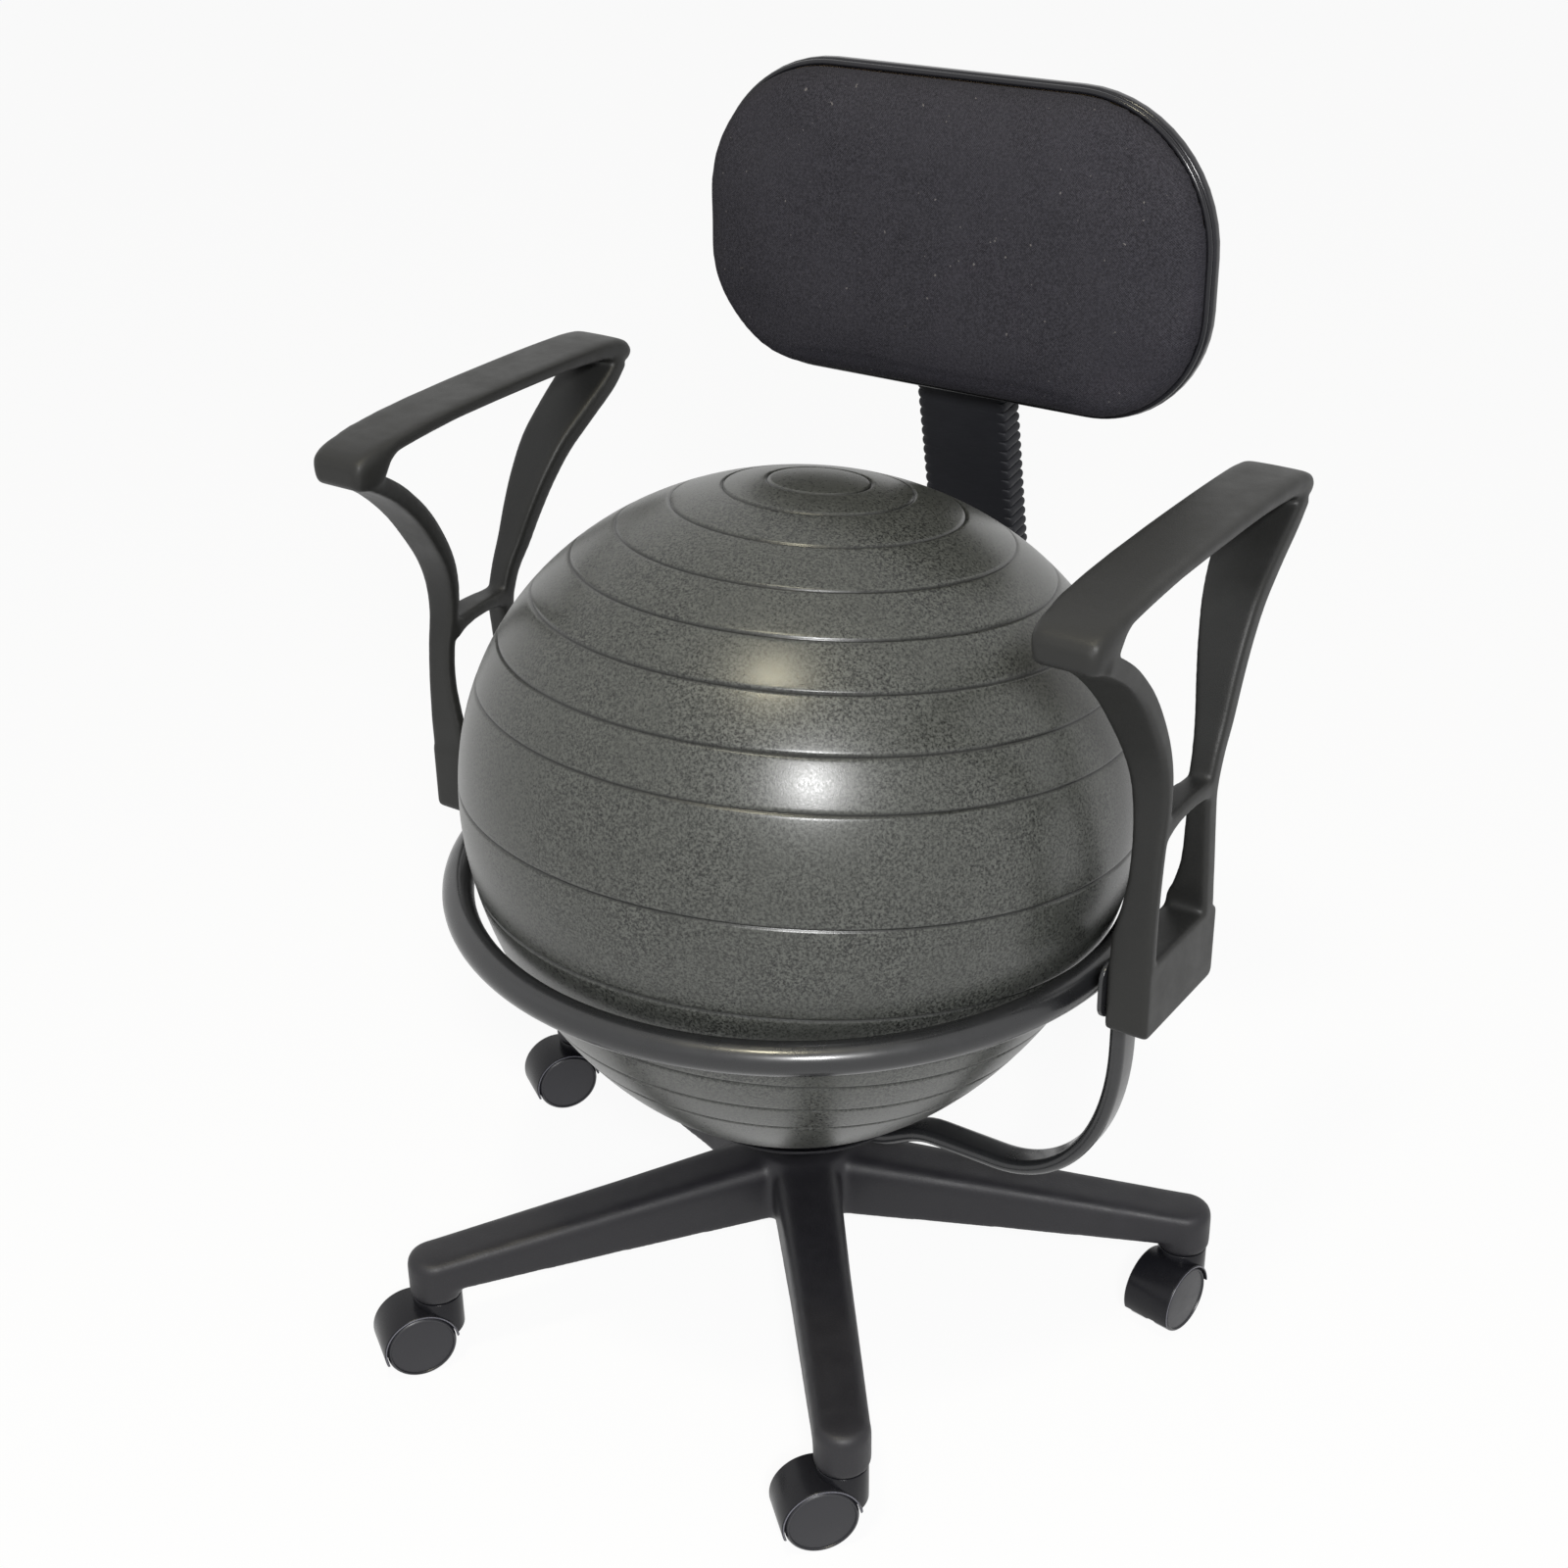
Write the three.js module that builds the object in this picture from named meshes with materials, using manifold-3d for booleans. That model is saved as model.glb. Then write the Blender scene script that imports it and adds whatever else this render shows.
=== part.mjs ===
// Balance ball chair: an inflated exercise ball held in a steel hoop over a five-leg caster base,
// with two looped armrests and a height-adjustable backrest on a bellows-covered bar.
// Millimetres, +Z up, the chair faces -Y, and +X is the sitter's left-hand side seen from the front.

import * as THREE from 'three';
import { mergeVertices } from 'three/addons/utils/BufferGeometryUtils.js';
import Module from 'manifold-3d';

const wasm = await Module();
wasm.setup();

// Clearances and overruns
const gap = 0.3;
const overrun = 4;
const weldDistance = 0.0001;

// Facet counts
const wheelSides = 20;
const bossSides = 16;
const pinSides = 12;
const smallSides = 8;
const hubSides = 24;
const ballSides = 28;
const ballInnerRings = 7;
const hoopSides = 8;
const hoopSteps = 48;
const bendSteps = 6;
const cornerSteps = 2;
const bridgeSteps = 4;
const knobLobeSteps = 4;

// Ball: an inflated shell whose weight and hoop pinch it below its equator
const ballRadius = 232.1;
const ballWall = 2.5;
const ballCentreX = 1.5;
const ballLeanDegrees = 6.7;
const ballShapeShares = [0.0069, -0.0444, 0.0103];
const grooveDegrees = [8.7, 16.1, 25.1, 34.9, 43.8, 52.5, 61.7, 70.1, 87.4, 104, 116.1, 121.2, 129, 136.5];
const grooveWidth = 4.4;
const grooveDepth = 1.2;
const ballStepDegrees = 16;
const valveRadius = 4;
const valveDegrees = 78;
const valveHoleDepth = 10;
const plugHeadRadius = 8;
const plugHeadDepth = 1.6;
const plugLength = 12;

// Dish under the ball
const dishFloorZ = 147.1;
const dishLipRadius = 0.362 * ballRadius;
const dishLipZ = dishFloorZ + 0.0427 * ballRadius;
const dishFloorRadius = 0.129 * ballRadius;
const dishWall = 1.5;
const dishLipRoll = 2.4;
const ballBottomShare = 1 + ballShapeShares[0] - ballShapeShares[1] + ballShapeShares[2];
const ballCentreZ = dishFloorZ + ballBottomShare * ballRadius;

// Hoop that the ball sits in: its inside touches the skin a little below the ball's middle
const hoopTubeRadius = 11;
const hoopRadius = 0.9703 * ballRadius + hoopTubeRadius;
const hoopZ = ballCentreZ - 0.2357 * ballRadius;

// Struts: flat-oval bars from the frame hub, bent up outside the hoop
const strutWidth = 24;
const strutThickness = 11;
const strutX = hoopRadius + hoopTubeRadius + gap + strutThickness / 2;
const strutHubZ = 139.6;
const strutLevelZ = 158;
const strutDipStart = 0.714 * dishLipRadius;
const strutDipEnd = 1.405 * dishLipRadius;
const strutDipEase = 26;
const strutBendStart = 0.652 * strutX;
const strutBendEase = 50;
const strutRiseReach = 53.8;
const strutRiseEase = 80;
const strutTopReach = 35.2;
const rearStrutTopReach = 43.2;

// Frame hub under the ball
const frameDiscRadius = 44;
const frameDiscTopZ = 145.3;
const frameDiscDepth = 11.5;
const postRadius = 17;
const spigotRadius = 14.7;
const spigotEndZ = 62;
const hubBoltRadius = 6;
const hubBoltReach = 38;
const hubBoltHoleDepth = 42;
const hubBoltHeadFlats = 19;
const hubBoltHeadDepth = 7.5;
const hubWasherRadius = 21;
const hubWasherDepth = 2.5;

// Star base
const legCount = 5;
const starTurnDegrees = 2.68;
const stemRadiusFromCentre = 283.2;
const hubOuterRadius = 40;
const hubTopZ = 110;
const hubBottomZ = 58;
const hubBossRadius = 24;
const legTopRootZ = 109;
const legTopTipZ = 92;
const legBottomRootZ = 58;
const legBottomTipZ = 67;
const legRootHalfWidth = 25;
const legMiddleHalfWidth = 21;
const legTipHalfWidth = 18;
const legRingShares = [0, 0.14, 0.38, 0.7, 1];
const legEdgeRadius = 7;
const legWall = 3.2;
const legTopWall = 4;
const legCavityStart = 20;
const legCavityEnd = 256;
const legRibThickness = 2.4;
const legRibCount = 4;
const tipBossRadius = 19;
const tipBossBottomZ = 58;
const tipBossTopZ = 93;
const tipBossEdge = 5;

// Casters
const stemRadius = 5.5;
const stemSocketTopZ = 86;
const stemFootZ = 46;
const casterTrail = 17.8;
const wheelRadius = 25;
const wheelFaceRadius = 23.2;
const wheelFaceStep = 0.8;
const wheelShoulder = 1.6;
const wheelOuterFace = 17.6;
const webHalfWidth = 3.3;
const axleRadius = 3;
const axleHalfLength = 13;
const hoodRadius = 27.3;
const hoodWellRadius = 25.9;
const hoodHalfWidth = 18.2;
const hoodRearCutZ = 16;
const hoodFrontCutZ = 30;
const neckRadius = 17.4;
const axleBossRadius = 8;
const casters = [
  { name: 'rear', swivelDegrees: 335 },
  { name: 'left', swivelDegrees: 327 },
  { name: 'front_left', swivelDegrees: 326 },
  { name: 'front_right', swivelDegrees: 318 },
  { name: 'right', swivelDegrees: 352 },
];

// Brackets and bolts that hold the armrests, and the size of the back bar's bolts
const armFootDrop = 13.8;
const armBottomZ = hoopZ - armFootDrop;
const bracketThickness = 3;
const bracketHalfLength = 54;
const bracketX = strutX + strutThickness / 2 + gap;
const bracketFootRise = 7;
const bracketBottomZ = armBottomZ + bracketFootRise;
const bracketHeight = 40;
const bracketCorner = 12;
const armBoltSpread = 32;
const armBoltRise = 31;
const armBoltZ = armBottomZ + armBoltRise;
const boltRadius = 4;
const boltHeadFlats = 13;
const boltHeadDepth = 5.3;
const armBoltReach = 20;

// Armrests: one flat band round two loops. Straps are tabled as shares of reach, rise, depth, width.
const armBaseWidth = 29.4;
const armInnerX = bracketX + bracketThickness + gap;
const armOuterX = armInnerX + armBaseWidth;
const armRise = 293;
const armReach = 150;
const armBaseFrontY = -50;
const armBaseRearY = 48;
const armBaseHeight = 54;
const armBaseCorner = 5;
const armBaseEdge = 2;
const strapDepth = 14;
const strapWidth = 47;
const strapEdge = 2.6;
const frontStrapShares = [
  [-0.29, 0.02, 0.68, 0.625], [-0.297, 0.215, 0.68, 0.617], [-0.297, 0.27, 0.66, 0.553],
  [-0.29, 0.358, 0.64, 0.46], [-0.273, 0.447, 0.64, 0.447], [-0.247, 0.529, 0.68, 0.5],
  [-0.253, 0.608, 0.75, 0.56], [-0.297, 0.683, 0.82, 0.638], [-0.38, 0.761, 0.93, 0.7],
  [-0.483, 0.836, 0.96, 0.755], [-0.613, 0.904, 0.96, 0.81], [-0.72, 0.945, 0.96, 0.87],
  [-0.853, 0.986, 0.96, 0.957],
];
const rearStrapShares = [
  [0.253, 0.02, 1, 0.625], [0.24, 0.188, 1, 0.625], [0.23, 0.242, 1, 0.52],
  [0.219, 0.307, 1, 0.415], [0.197, 0.413, 1, 0.36], [0.19, 0.488, 1, 0.36],
  [0.233, 0.563, 1, 0.394], [0.297, 0.631, 1.07, 0.48], [0.357, 0.706, 1.1, 0.585],
  [0.43, 0.782, 1.1, 0.7], [0.53, 0.857, 1.1, 0.82], [0.68, 0.925, 1.03, 0.936],
  [0.823, 0.98, 1, 1], [0.927, 1.027, 0.93, 1],
];
const bridgeRiseShare = 0.495;
const bridgeZ = armBottomZ + bridgeRiseShare * armRise;
const bridgeArch = 3;
const bridgeDepth = 10;

// Armrest pads: crown and depth are shares of the pad's depth, along a share of its length
const padWidth = 47.5;
const padOuterX = armOuterX + gap;
const padFrontY = -0.947 * armReach;
const padRearY = 1.013 * armReach;
const padCrownRise = 26.5;
const padCrownZ = armBottomZ + armRise + padCrownRise;
const padDepth = 12;
const padStationShares = [
  { along: 0, half: 0.72, crown: -1.71, depth: 0.92 },
  { along: 0.01, half: 0.88, crown: -1.29, depth: 1.63 },
  { along: 0.031, half: 0.96, crown: -1, depth: 2.08 },
  { along: 0.061, half: 1, crown: -0.79, depth: 2.33 },
  { along: 0.088, half: 1, crown: -0.68, depth: 2.11 },
  { along: 0.109, half: 1, crown: -0.6, depth: 1.36 },
  { along: 0.136, half: 1, crown: -0.52, depth: 0.98 },
  { along: 0.228, half: 1, crown: -0.31, depth: 0.94 },
  { along: 0.347, half: 1, crown: -0.16, depth: 0.88 },
  { along: 0.534, half: 1, crown: -0.04, depth: 0.92 },
  { along: 0.738, half: 1, crown: 0, depth: 0.96 },
  { along: 0.891, half: 1, crown: -0.04, depth: 1.17 },
  { along: 0.952, half: 1, crown: -0.17, depth: 1.54 },
  { along: 0.983, half: 0.97, crown: -0.46, depth: 1.33 },
  { along: 1, half: 0.9, crown: -0.96, depth: 0.58 },
];
const padSectionShares = [[0, 1], [0.78, 0.98], [0.94, 0.88], [1, 0.68], [0.97, 0.3], [0.86, 0]];

// Backrest
const backWidth = 394;
const backHeight = 218;
const backRise = 345;
const backCentreZ = ballCentreZ + backRise;
const backCornerRadius = 78;
const barTopY = 0.906 * hoopRadius;
const cushionFrontReach = 51;
const cushionRearReach = 21;
const cushionInset = 2;
const cushionShares = [
  [0, 0.07], [0.14, 0], [0.46, 0], [0.7, 0.06], [0.86, 0.18], [0.96, 0.42], [1.03, 0.9], [1.08, 1.7],
];
const shellDepth = 10.6;
const shellWall = 3.2;
const shellEdge = 5;
const shellEdgeShare = 0.3;
const boardDepth = 6.5;
const backBracketWidth = 112;
const backBracketHeight = 122;
const backBracketFlange = 4;
const backBracketCorner = 14;
const backHousingWidth = 70;
const backHousingDepth = 16;
const backHousingCorner = 6;
const backHousingEdge = 2;
const backBracketDrop = 9.5;
const backBracketZ = backCentreZ - backBracketDrop;
const screwInsetX = 11;
const screwInsetZ = 13;
const screwSpreadX = backBracketWidth / 2 - screwInsetX;
const screwSpreadZ = backBracketHeight / 2 - screwInsetZ;
const screwRadius = 3;
const screwHeadRadius = 5.5;
const screwHeadDepth = 3;
const knobRadius = 19;
const knobDepth = 18;
const knobLobes = 5;
const knobLobeShare = 0.1;
const knobEdge = 2;
const knobFootRise = 32;
const knobZ = backBracketZ - backBracketHeight / 2 + knobFootRise;
const knobStandOff = 1.5;
const knobShankRadius = 4;

// Back bar and its bellows
const barWidth = 50;
const barThickness = 6;
const barFootY = strutX + strutThickness / 2 + gap + barThickness / 2;
const barFootDrop = 8.8;
const barLeanStartRise = 57.2;
const barLeanEndDrop = 88.5;
const barTopRise = 36.5;
const barBottomZ = hoopZ - barFootDrop;
const barLeanStartZ = hoopZ + barLeanStartRise;
const barLeanEndZ = backCentreZ - barLeanEndDrop;
const barTopZ = backCentreZ + barTopRise;
const barBendReach = 15;
const barBoltRises = [1.2, 33.2];
const barBoltZs = barBoltRises.map((rise) => hoopZ + rise);
const barBoltReach = barThickness + strutThickness + gap;
const bellowsFootRise = 18;
const bellowsBottomZ = barLeanStartZ + bellowsFootRise;
const bellowsTopZ = barLeanEndZ - barBendReach;
const bellowsRibs = 28;
const bellowsHalfWidth = 32;
const bellowsHalfDepth = 10;
const bellowsRibReach = 4;
const bellowsCorner = 4;
const bellowsCuff = 5;

// Finishes
const finishes = {
  ball: { color: 0x33352f, roughness: 0.42, metalness: 0.05 },
  steel: { color: 0x131416, roughness: 0.3, metalness: 0.35 },
  nylon: { color: 0x1b1c20, roughness: 0.5, metalness: 0 },
  gloss: { color: 0x101114, roughness: 0.22, metalness: 0 },
  fabric: { color: 0x17181c, roughness: 0.95, metalness: 0 },
  boot: { color: 0x15161a, roughness: 0.7, metalness: 0 },
  zinc: { color: 0x8d9196, roughness: 0.35, metalness: 0.9 },
  wood: { color: 0x9c7a52, roughness: 0.8, metalness: 0 },
};

// Solids: closed geometry in, joined or cut geometry out
function toSolid(geometry) {
  const bare = new THREE.BufferGeometry();
  bare.setAttribute('position', geometry.getAttribute('position').clone());
  if (geometry.index) bare.setIndex(geometry.index.clone());
  const welded = mergeVertices(bare, weldDistance);
  const corners = welded.index.array;
  const kept = [];
  for (let i = 0; i < corners.length; i += 3) {
    const [a, b, c] = [corners[i], corners[i + 1], corners[i + 2]];
    if (a !== b && b !== c && c !== a) kept.push(a, b, c);
  }
  const vertProperties = new Float32Array(welded.attributes.position.array);
  const build = (list) =>
    new wasm.Manifold(new wasm.Mesh({ numProp: 3, vertProperties, triVerts: new Uint32Array(list) }));
  const solid = build(kept);
  return solid.volume() < 0 ? build(kept.reverse()) : solid;
}

function toGeometry(solid) {
  const mesh = solid.getMesh();
  const geometry = new THREE.BufferGeometry();
  geometry.setAttribute('position', new THREE.BufferAttribute(new Float32Array(mesh.vertProperties), 3));
  geometry.setIndex(new THREE.BufferAttribute(new Uint32Array(mesh.triVerts), 1));
  geometry.computeVertexNormals();
  return geometry;
}

const tidy = (body) => toGeometry(toSolid(body));
const join = (...bodies) => toGeometry(bodies.map(toSolid).reduce((all, next) => all.add(next)));
const cut = (body, ...tools) =>
  toGeometry(tools.map(toSolid).reduce((rest, tool) => rest.subtract(tool), toSolid(body)));

// A profile of [radius, height] points turned about the Z axis.
function turned(profile, sides) {
  const points = profile.map(([radius, height]) => new THREE.Vector2(radius, height));
  return tidy(new THREE.LatheGeometry(points, sides).rotateX(Math.PI / 2));
}

// A round rod or hole along Z from one height to another.
function rod(radius, from, to, sides = smallSides) {
  return turned([[0, from], [radius, from], [radius, to], [0, to]], sides);
}

// The same rod laid along X or along Y.
const rodX = (radius, from, to, sides) => rod(radius, from, to, sides).rotateY(Math.PI / 2);
const rodY = (radius, from, to, sides) => rod(radius, from, to, sides).rotateX(-Math.PI / 2);

// A box given by its lowest and highest corners.
function box(low, high) {
  const size = high.map((value, axis) => value - low[axis]);
  return new THREE.BoxGeometry(...size).translate(...low.map((value, axis) => value + size[axis] / 2));
}

// A skin over rings of equal count, closed at both ends by fans.
function loft(rings) {
  const count = rings[0].length;
  const points = rings.flat();
  const ends = [rings[0], rings[rings.length - 1]];
  const middles = ends.map((ring) =>
    ring.reduce((sum, point) => sum.add(point), new THREE.Vector3()).divideScalar(count));
  const index = [];
  for (let r = 0; r + 1 < rings.length; r++) {
    for (let i = 0; i < count; i++) {
      const a = r * count + i;
      const b = r * count + ((i + 1) % count);
      index.push(a, b, b + count, a, b + count, a + count);
    }
  }
  const lastRing = (rings.length - 1) * count;
  for (let i = 0; i < count; i++) {
    const next = (i + 1) % count;
    index.push(points.length, next, i);
    index.push(points.length + 1, lastRing + i, lastRing + next);
  }
  const geometry = new THREE.BufferGeometry().setFromPoints([...points, ...middles]);
  geometry.setIndex(index);
  return tidy(geometry);
}

// Rings of a section carried along a flat path. Its [u, v] points run along side and across the path.
function sweep(sectionAt, path, side) {
  return loft(path.map((point, i) => {
    const along = path[Math.min(i + 1, path.length - 1)].clone().sub(path[Math.max(i - 1, 0)]).normalize();
    const across = new THREE.Vector3().crossVectors(side, along);
    return sectionAt(i).map(([u, v]) =>
      point.clone().addScaledVector(side, u).addScaledVector(across, v));
  }));
}

// Outline of a rectangle with round corners, as [u, v] points.
function roundedRectangle(halfWidth, halfHeight, radius, steps) {
  const points = [];
  for (let corner = 0; corner < 4; corner++) {
    const turn = corner * Math.PI / 2;
    const u = (corner === 0 || corner === 3 ? 1 : -1) * (halfWidth - radius);
    const v = (corner < 2 ? 1 : -1) * (halfHeight - radius);
    for (let i = 0; i <= steps; i++) {
      const angle = turn + i / steps * Math.PI / 2;
      points.push([u + radius * Math.cos(angle), v + radius * Math.sin(angle)]);
    }
  }
  return points;
}

const shapeOf = (points) => new THREE.Shape(points.map(([u, v]) => new THREE.Vector2(u, v)));

// A flat plate of a given outline and depth along Z, with rounded rims.
function plate(points, depth, rim = 0) {
  return tidy(new THREE.ExtrudeGeometry(shapeOf(points), {
    depth: depth - 2 * rim,
    bevelEnabled: rim > 0,
    bevelThickness: rim,
    bevelSize: rim,
    bevelOffset: -rim,
    bevelSegments: 1,
    steps: 1,
  }).translate(0, 0, rim));
}

// A hexagon whose opposite faces are a given distance apart.
function hexagon(acrossFlats) {
  const radius = acrossFlats / Math.sqrt(3);
  return Array.from({ length: 6 }, (_, i) => [
    radius * Math.cos(i * Math.PI / 3), radius * Math.sin(i * Math.PI / 3),
  ]);
}

// A hexagon-head bolt along Z: the head below zero, the shank above.
function hexBolt(radius, flats, headDepth, reach) {
  const head = plate(hexagon(flats), headDepth).translate(0, 0, -headDepth);
  return join(head, rod(radius, -headDepth / 2, reach));
}

const chair = new THREE.Group();

function addPiece(name, geometry, finish, parent = chair) {
  const mesh = new THREE.Mesh(geometry, new THREE.MeshStandardMaterial(finish));
  mesh.name = name;
  parent.add(mesh);
  return mesh;
}

// Ball

// Distance from the ball's centre to its skin at an angle from its upper pole.
function skinRadius(angle) {
  const c = Math.cos(angle);
  const bulges = [(3 * c * c - 1) / 2, (5 * c ** 3 - 3 * c) / 2, (35 * c ** 4 - 30 * c * c + 3) / 8];
  return ballRadius * bulges.reduce((sum, bulge, i) => sum + ballShapeShares[i] * bulge, 1);
}

const skinPoint = (angle, depth) => [
  (skinRadius(angle) - depth) * Math.sin(angle), (skinRadius(angle) - depth) * Math.cos(angle),
];

function ballOutline() {
  const halfGroove = grooveWidth / 2 / ballRadius;
  const grooves = grooveDegrees.map(THREE.MathUtils.degToRad);
  const stops = [0, ...grooves, Math.PI];
  const profile = [];
  stops.forEach((angle, i) => {
    const ends = angle === 0 || angle === Math.PI;
    if (ends) profile.push([0, skinPoint(angle, 0)[1]]);
    else [-1, 0, 1].forEach((side) => profile.push(
      skinPoint(angle + side * halfGroove, side === 0 ? grooveDepth : 0)));
    if (i + 1 === stops.length) return;
    const steps = Math.ceil(THREE.MathUtils.radToDeg(stops[i + 1] - angle) / ballStepDegrees);
    for (let k = 1; k < steps; k++) profile.push(skinPoint(angle + k / steps * (stops[i + 1] - angle), 0));
  });
  return profile;
}

function ballShell() {
  const inner = Array.from({ length: ballInnerRings + 1 }, (_, i) => {
    const [radius, height] = skinPoint(i / ballInnerRings * Math.PI, ballWall + grooveDepth);
    return [i === 0 || i === ballInnerRings ? 0 : radius, height];
  });
  const valveHole = valvePlace(rod(valveRadius, -valveHoleDepth, overrun));
  return cut(turned(ballOutline(), ballSides), turned(inner, ballSides), valveHole);
}

// Carries a piece made about the Z axis to the valve on the ball's rear skin.
function valvePlace(geometry) {
  const angle = THREE.MathUtils.degToRad(valveDegrees);
  const [out, up] = skinPoint(angle, 0);
  return geometry.rotateX(-angle).translate(0, out, up);
}

function valvePlug() {
  return valvePlace(turned([
    [0, -plugLength], [valveRadius - gap, -plugLength], [valveRadius - gap, gap],
    [plugHeadRadius, gap], [plugHeadRadius - plugHeadDepth, gap + plugHeadDepth], [0, gap + plugHeadDepth],
  ], smallSides));
}

const ballGroup = new THREE.Group();
ballGroup.position.set(ballCentreX, 0, ballCentreZ);
ballGroup.rotation.x = -THREE.MathUtils.degToRad(ballLeanDegrees);
chair.add(ballGroup);
addPiece('ball', ballShell(), finishes.ball, ballGroup);
addPiece('ball_plug', valvePlug(), finishes.nylon, ballGroup);

// Frame: hub, dish, struts and hoop

const frameDiscBottomZ = frameDiscTopZ - frameDiscDepth;
addPiece('frame_hub', turned([
  [0, spigotEndZ + hubBoltHoleDepth],
  [hubBoltRadius + gap, spigotEndZ + hubBoltHoleDepth],
  [hubBoltRadius + gap, spigotEndZ],
  [spigotRadius, spigotEndZ],
  [spigotRadius, hubTopZ + gap],
  [postRadius, hubTopZ + gap],
  [postRadius, frameDiscBottomZ],
  [frameDiscRadius, frameDiscBottomZ],
  [frameDiscRadius, frameDiscTopZ],
  [0, frameDiscTopZ],
], hubSides), finishes.steel);

function dishShell() {
  const rise = dishLipZ - dishFloorZ;
  const climb = dishLipRadius - dishFloorRadius;
  const inside = [];
  for (let i = 0; i <= cornerSteps; i++) {
    const share = i / cornerSteps;
    inside.push([dishFloorRadius + climb * share, dishFloorZ + rise * share * share]);
  }
  const outside = inside.map(([radius, height]) => [radius, height - dishWall]).reverse();
  outside[0] = [dishLipRadius, dishLipZ - dishLipRoll];
  const lip = [[dishLipRadius + dishWall, dishLipZ - dishLipRoll / 2]];
  return turned([[0, dishFloorZ], ...inside, ...lip, ...outside, [0, dishFloorZ - dishWall]], hubSides);
}
addPiece('ball_dish', dishShell(), finishes.nylon);

function strutPath(topReach) {
  const at = (r, z) => new THREE.Vector3(r, 0, z);
  const dip = new THREE.CubicBezierCurve3(
    at(strutDipStart, strutHubZ), at(strutDipStart + strutDipEase, strutHubZ),
    at(strutDipEnd - strutDipEase, strutLevelZ), at(strutDipEnd, strutLevelZ));
  const bend = new THREE.CubicBezierCurve3(
    at(strutBendStart, strutLevelZ), at(strutBendStart + strutBendEase, strutLevelZ),
    at(strutX, hoopZ - strutRiseReach - strutRiseEase), at(strutX, hoopZ - strutRiseReach));
  return [
    at(frameDiscRadius + gap, strutHubZ), ...dip.getPoints(bendSteps - 2), ...bend.getPoints(bendSteps),
    at(strutX, hoopZ + topReach),
  ];
}

function strut(topReach) {
  const edge = strutThickness / 2 - weldDistance;
  const section = roundedRectangle(strutWidth / 2, strutThickness / 2, edge, cornerSteps);
  return sweep(() => section, strutPath(topReach), new THREE.Vector3(0, 1, 0));
}

addPiece('strut_left', strut(strutTopReach), finishes.steel).rotation.z = Math.PI;
addPiece('strut_right', strut(strutTopReach), finishes.steel);
addPiece('strut_rear', cut(strut(rearStrutTopReach), ...barBoltZs.map((z) =>
  rodX(boltRadius + gap, strutX - strutThickness, strutX + strutThickness).translate(0, 0, z),
)), finishes.steel).rotation.z = Math.PI / 2;

addPiece('support_hoop', tidy(
  new THREE.TorusGeometry(hoopRadius, hoopTubeRadius, hoopSides, hoopSteps),
), finishes.steel).position.z = hoopZ;

// Star base

const legLength = stemRadiusFromCentre;
const mix = THREE.MathUtils.lerp;

// Half width, underside and top of a leg at a distance from the centre.
function legSection(distance) {
  const share = distance / legLength;
  const half = share < 0.5
    ? mix(legRootHalfWidth, legMiddleHalfWidth, share * 2)
    : mix(legMiddleHalfWidth, legTipHalfWidth, share * 2 - 1);
  const low = mix(legBottomRootZ, legBottomTipZ, share);
  return { half, low, high: mix(legTopRootZ, legTopTipZ, share) };
}

function legOuter() {
  const rings = legRingShares.map((share) => {
    const { half, low, high } = legSection(share * legLength);
    const ring = [[half, low]];
    for (let i = 0; i <= cornerSteps; i++) {
      const angle = i / cornerSteps * Math.PI / 2;
      ring.push([
        half - legEdgeRadius * (1 - Math.cos(angle)), high - legEdgeRadius * (1 - Math.sin(angle)),
      ]);
    }
    const mirrored = ring.map(([y, z]) => [-y, z]).reverse();
    return [...ring, ...mirrored].map(([y, z]) => new THREE.Vector3(share * legLength, y, z));
  });
  return loft(rings);
}

function legCavity() {
  return loft([legCavityStart, legLength / 2, legCavityEnd].map((distance) => {
    const { half, low, high } = legSection(distance);
    const [y, top] = [half - legWall, high - legTopWall];
    const right = [[y, low - overrun], [y, top - legWall], [y - legWall, top]];
    const left = right.map(([across, z]) => [-across, z]).reverse();
    return [...right, ...left].map(([across, z]) => new THREE.Vector3(distance, across, z));
  }));
}

// Diagonal stiffening ribs across a leg's hollow underside.
function legRibs() {
  const first = hubOuterRadius;
  const pitch = (legCavityEnd - first) / legRibCount;
  return Array.from({ length: legRibCount }, (_, i) => {
    const middle = first + (i + 0.5) * pitch;
    const { half, low, high } = legSection(middle);
    const length = Math.hypot(pitch, 2 * (half - legWall));
    const angle = Math.atan2(2 * (half - legWall), pitch) * (i % 2 ? -1 : 1);
    const bottom = low + legWall;
    return new THREE.BoxGeometry(length, legRibThickness, high - legTopWall / 2 - bottom)
      .rotateZ(angle).translate(middle, 0, (high - legTopWall / 2 + bottom) / 2);
  });
}

const tipBoss = () => turned([
  [0, tipBossBottomZ], [tipBossRadius, tipBossBottomZ], [tipBossRadius, tipBossTopZ - tipBossEdge],
  [tipBossRadius - tipBossEdge, tipBossTopZ], [0, tipBossTopZ],
], bossSides).translate(stemRadiusFromCentre, 0, 0);

const stemSocket = () => rod(stemRadius + 2 * gap, tipBossBottomZ - overrun, stemSocketTopZ, pinSides)
  .translate(stemRadiusFromCentre, 0, 0);

const legAngles = casters.map((_, i) => Math.PI / 2 + i * 2 * Math.PI / legCount);
const roundStar = (make) =>
  legAngles.flatMap((angle) => [make()].flat().map((body) => body.rotateZ(angle)));

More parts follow.
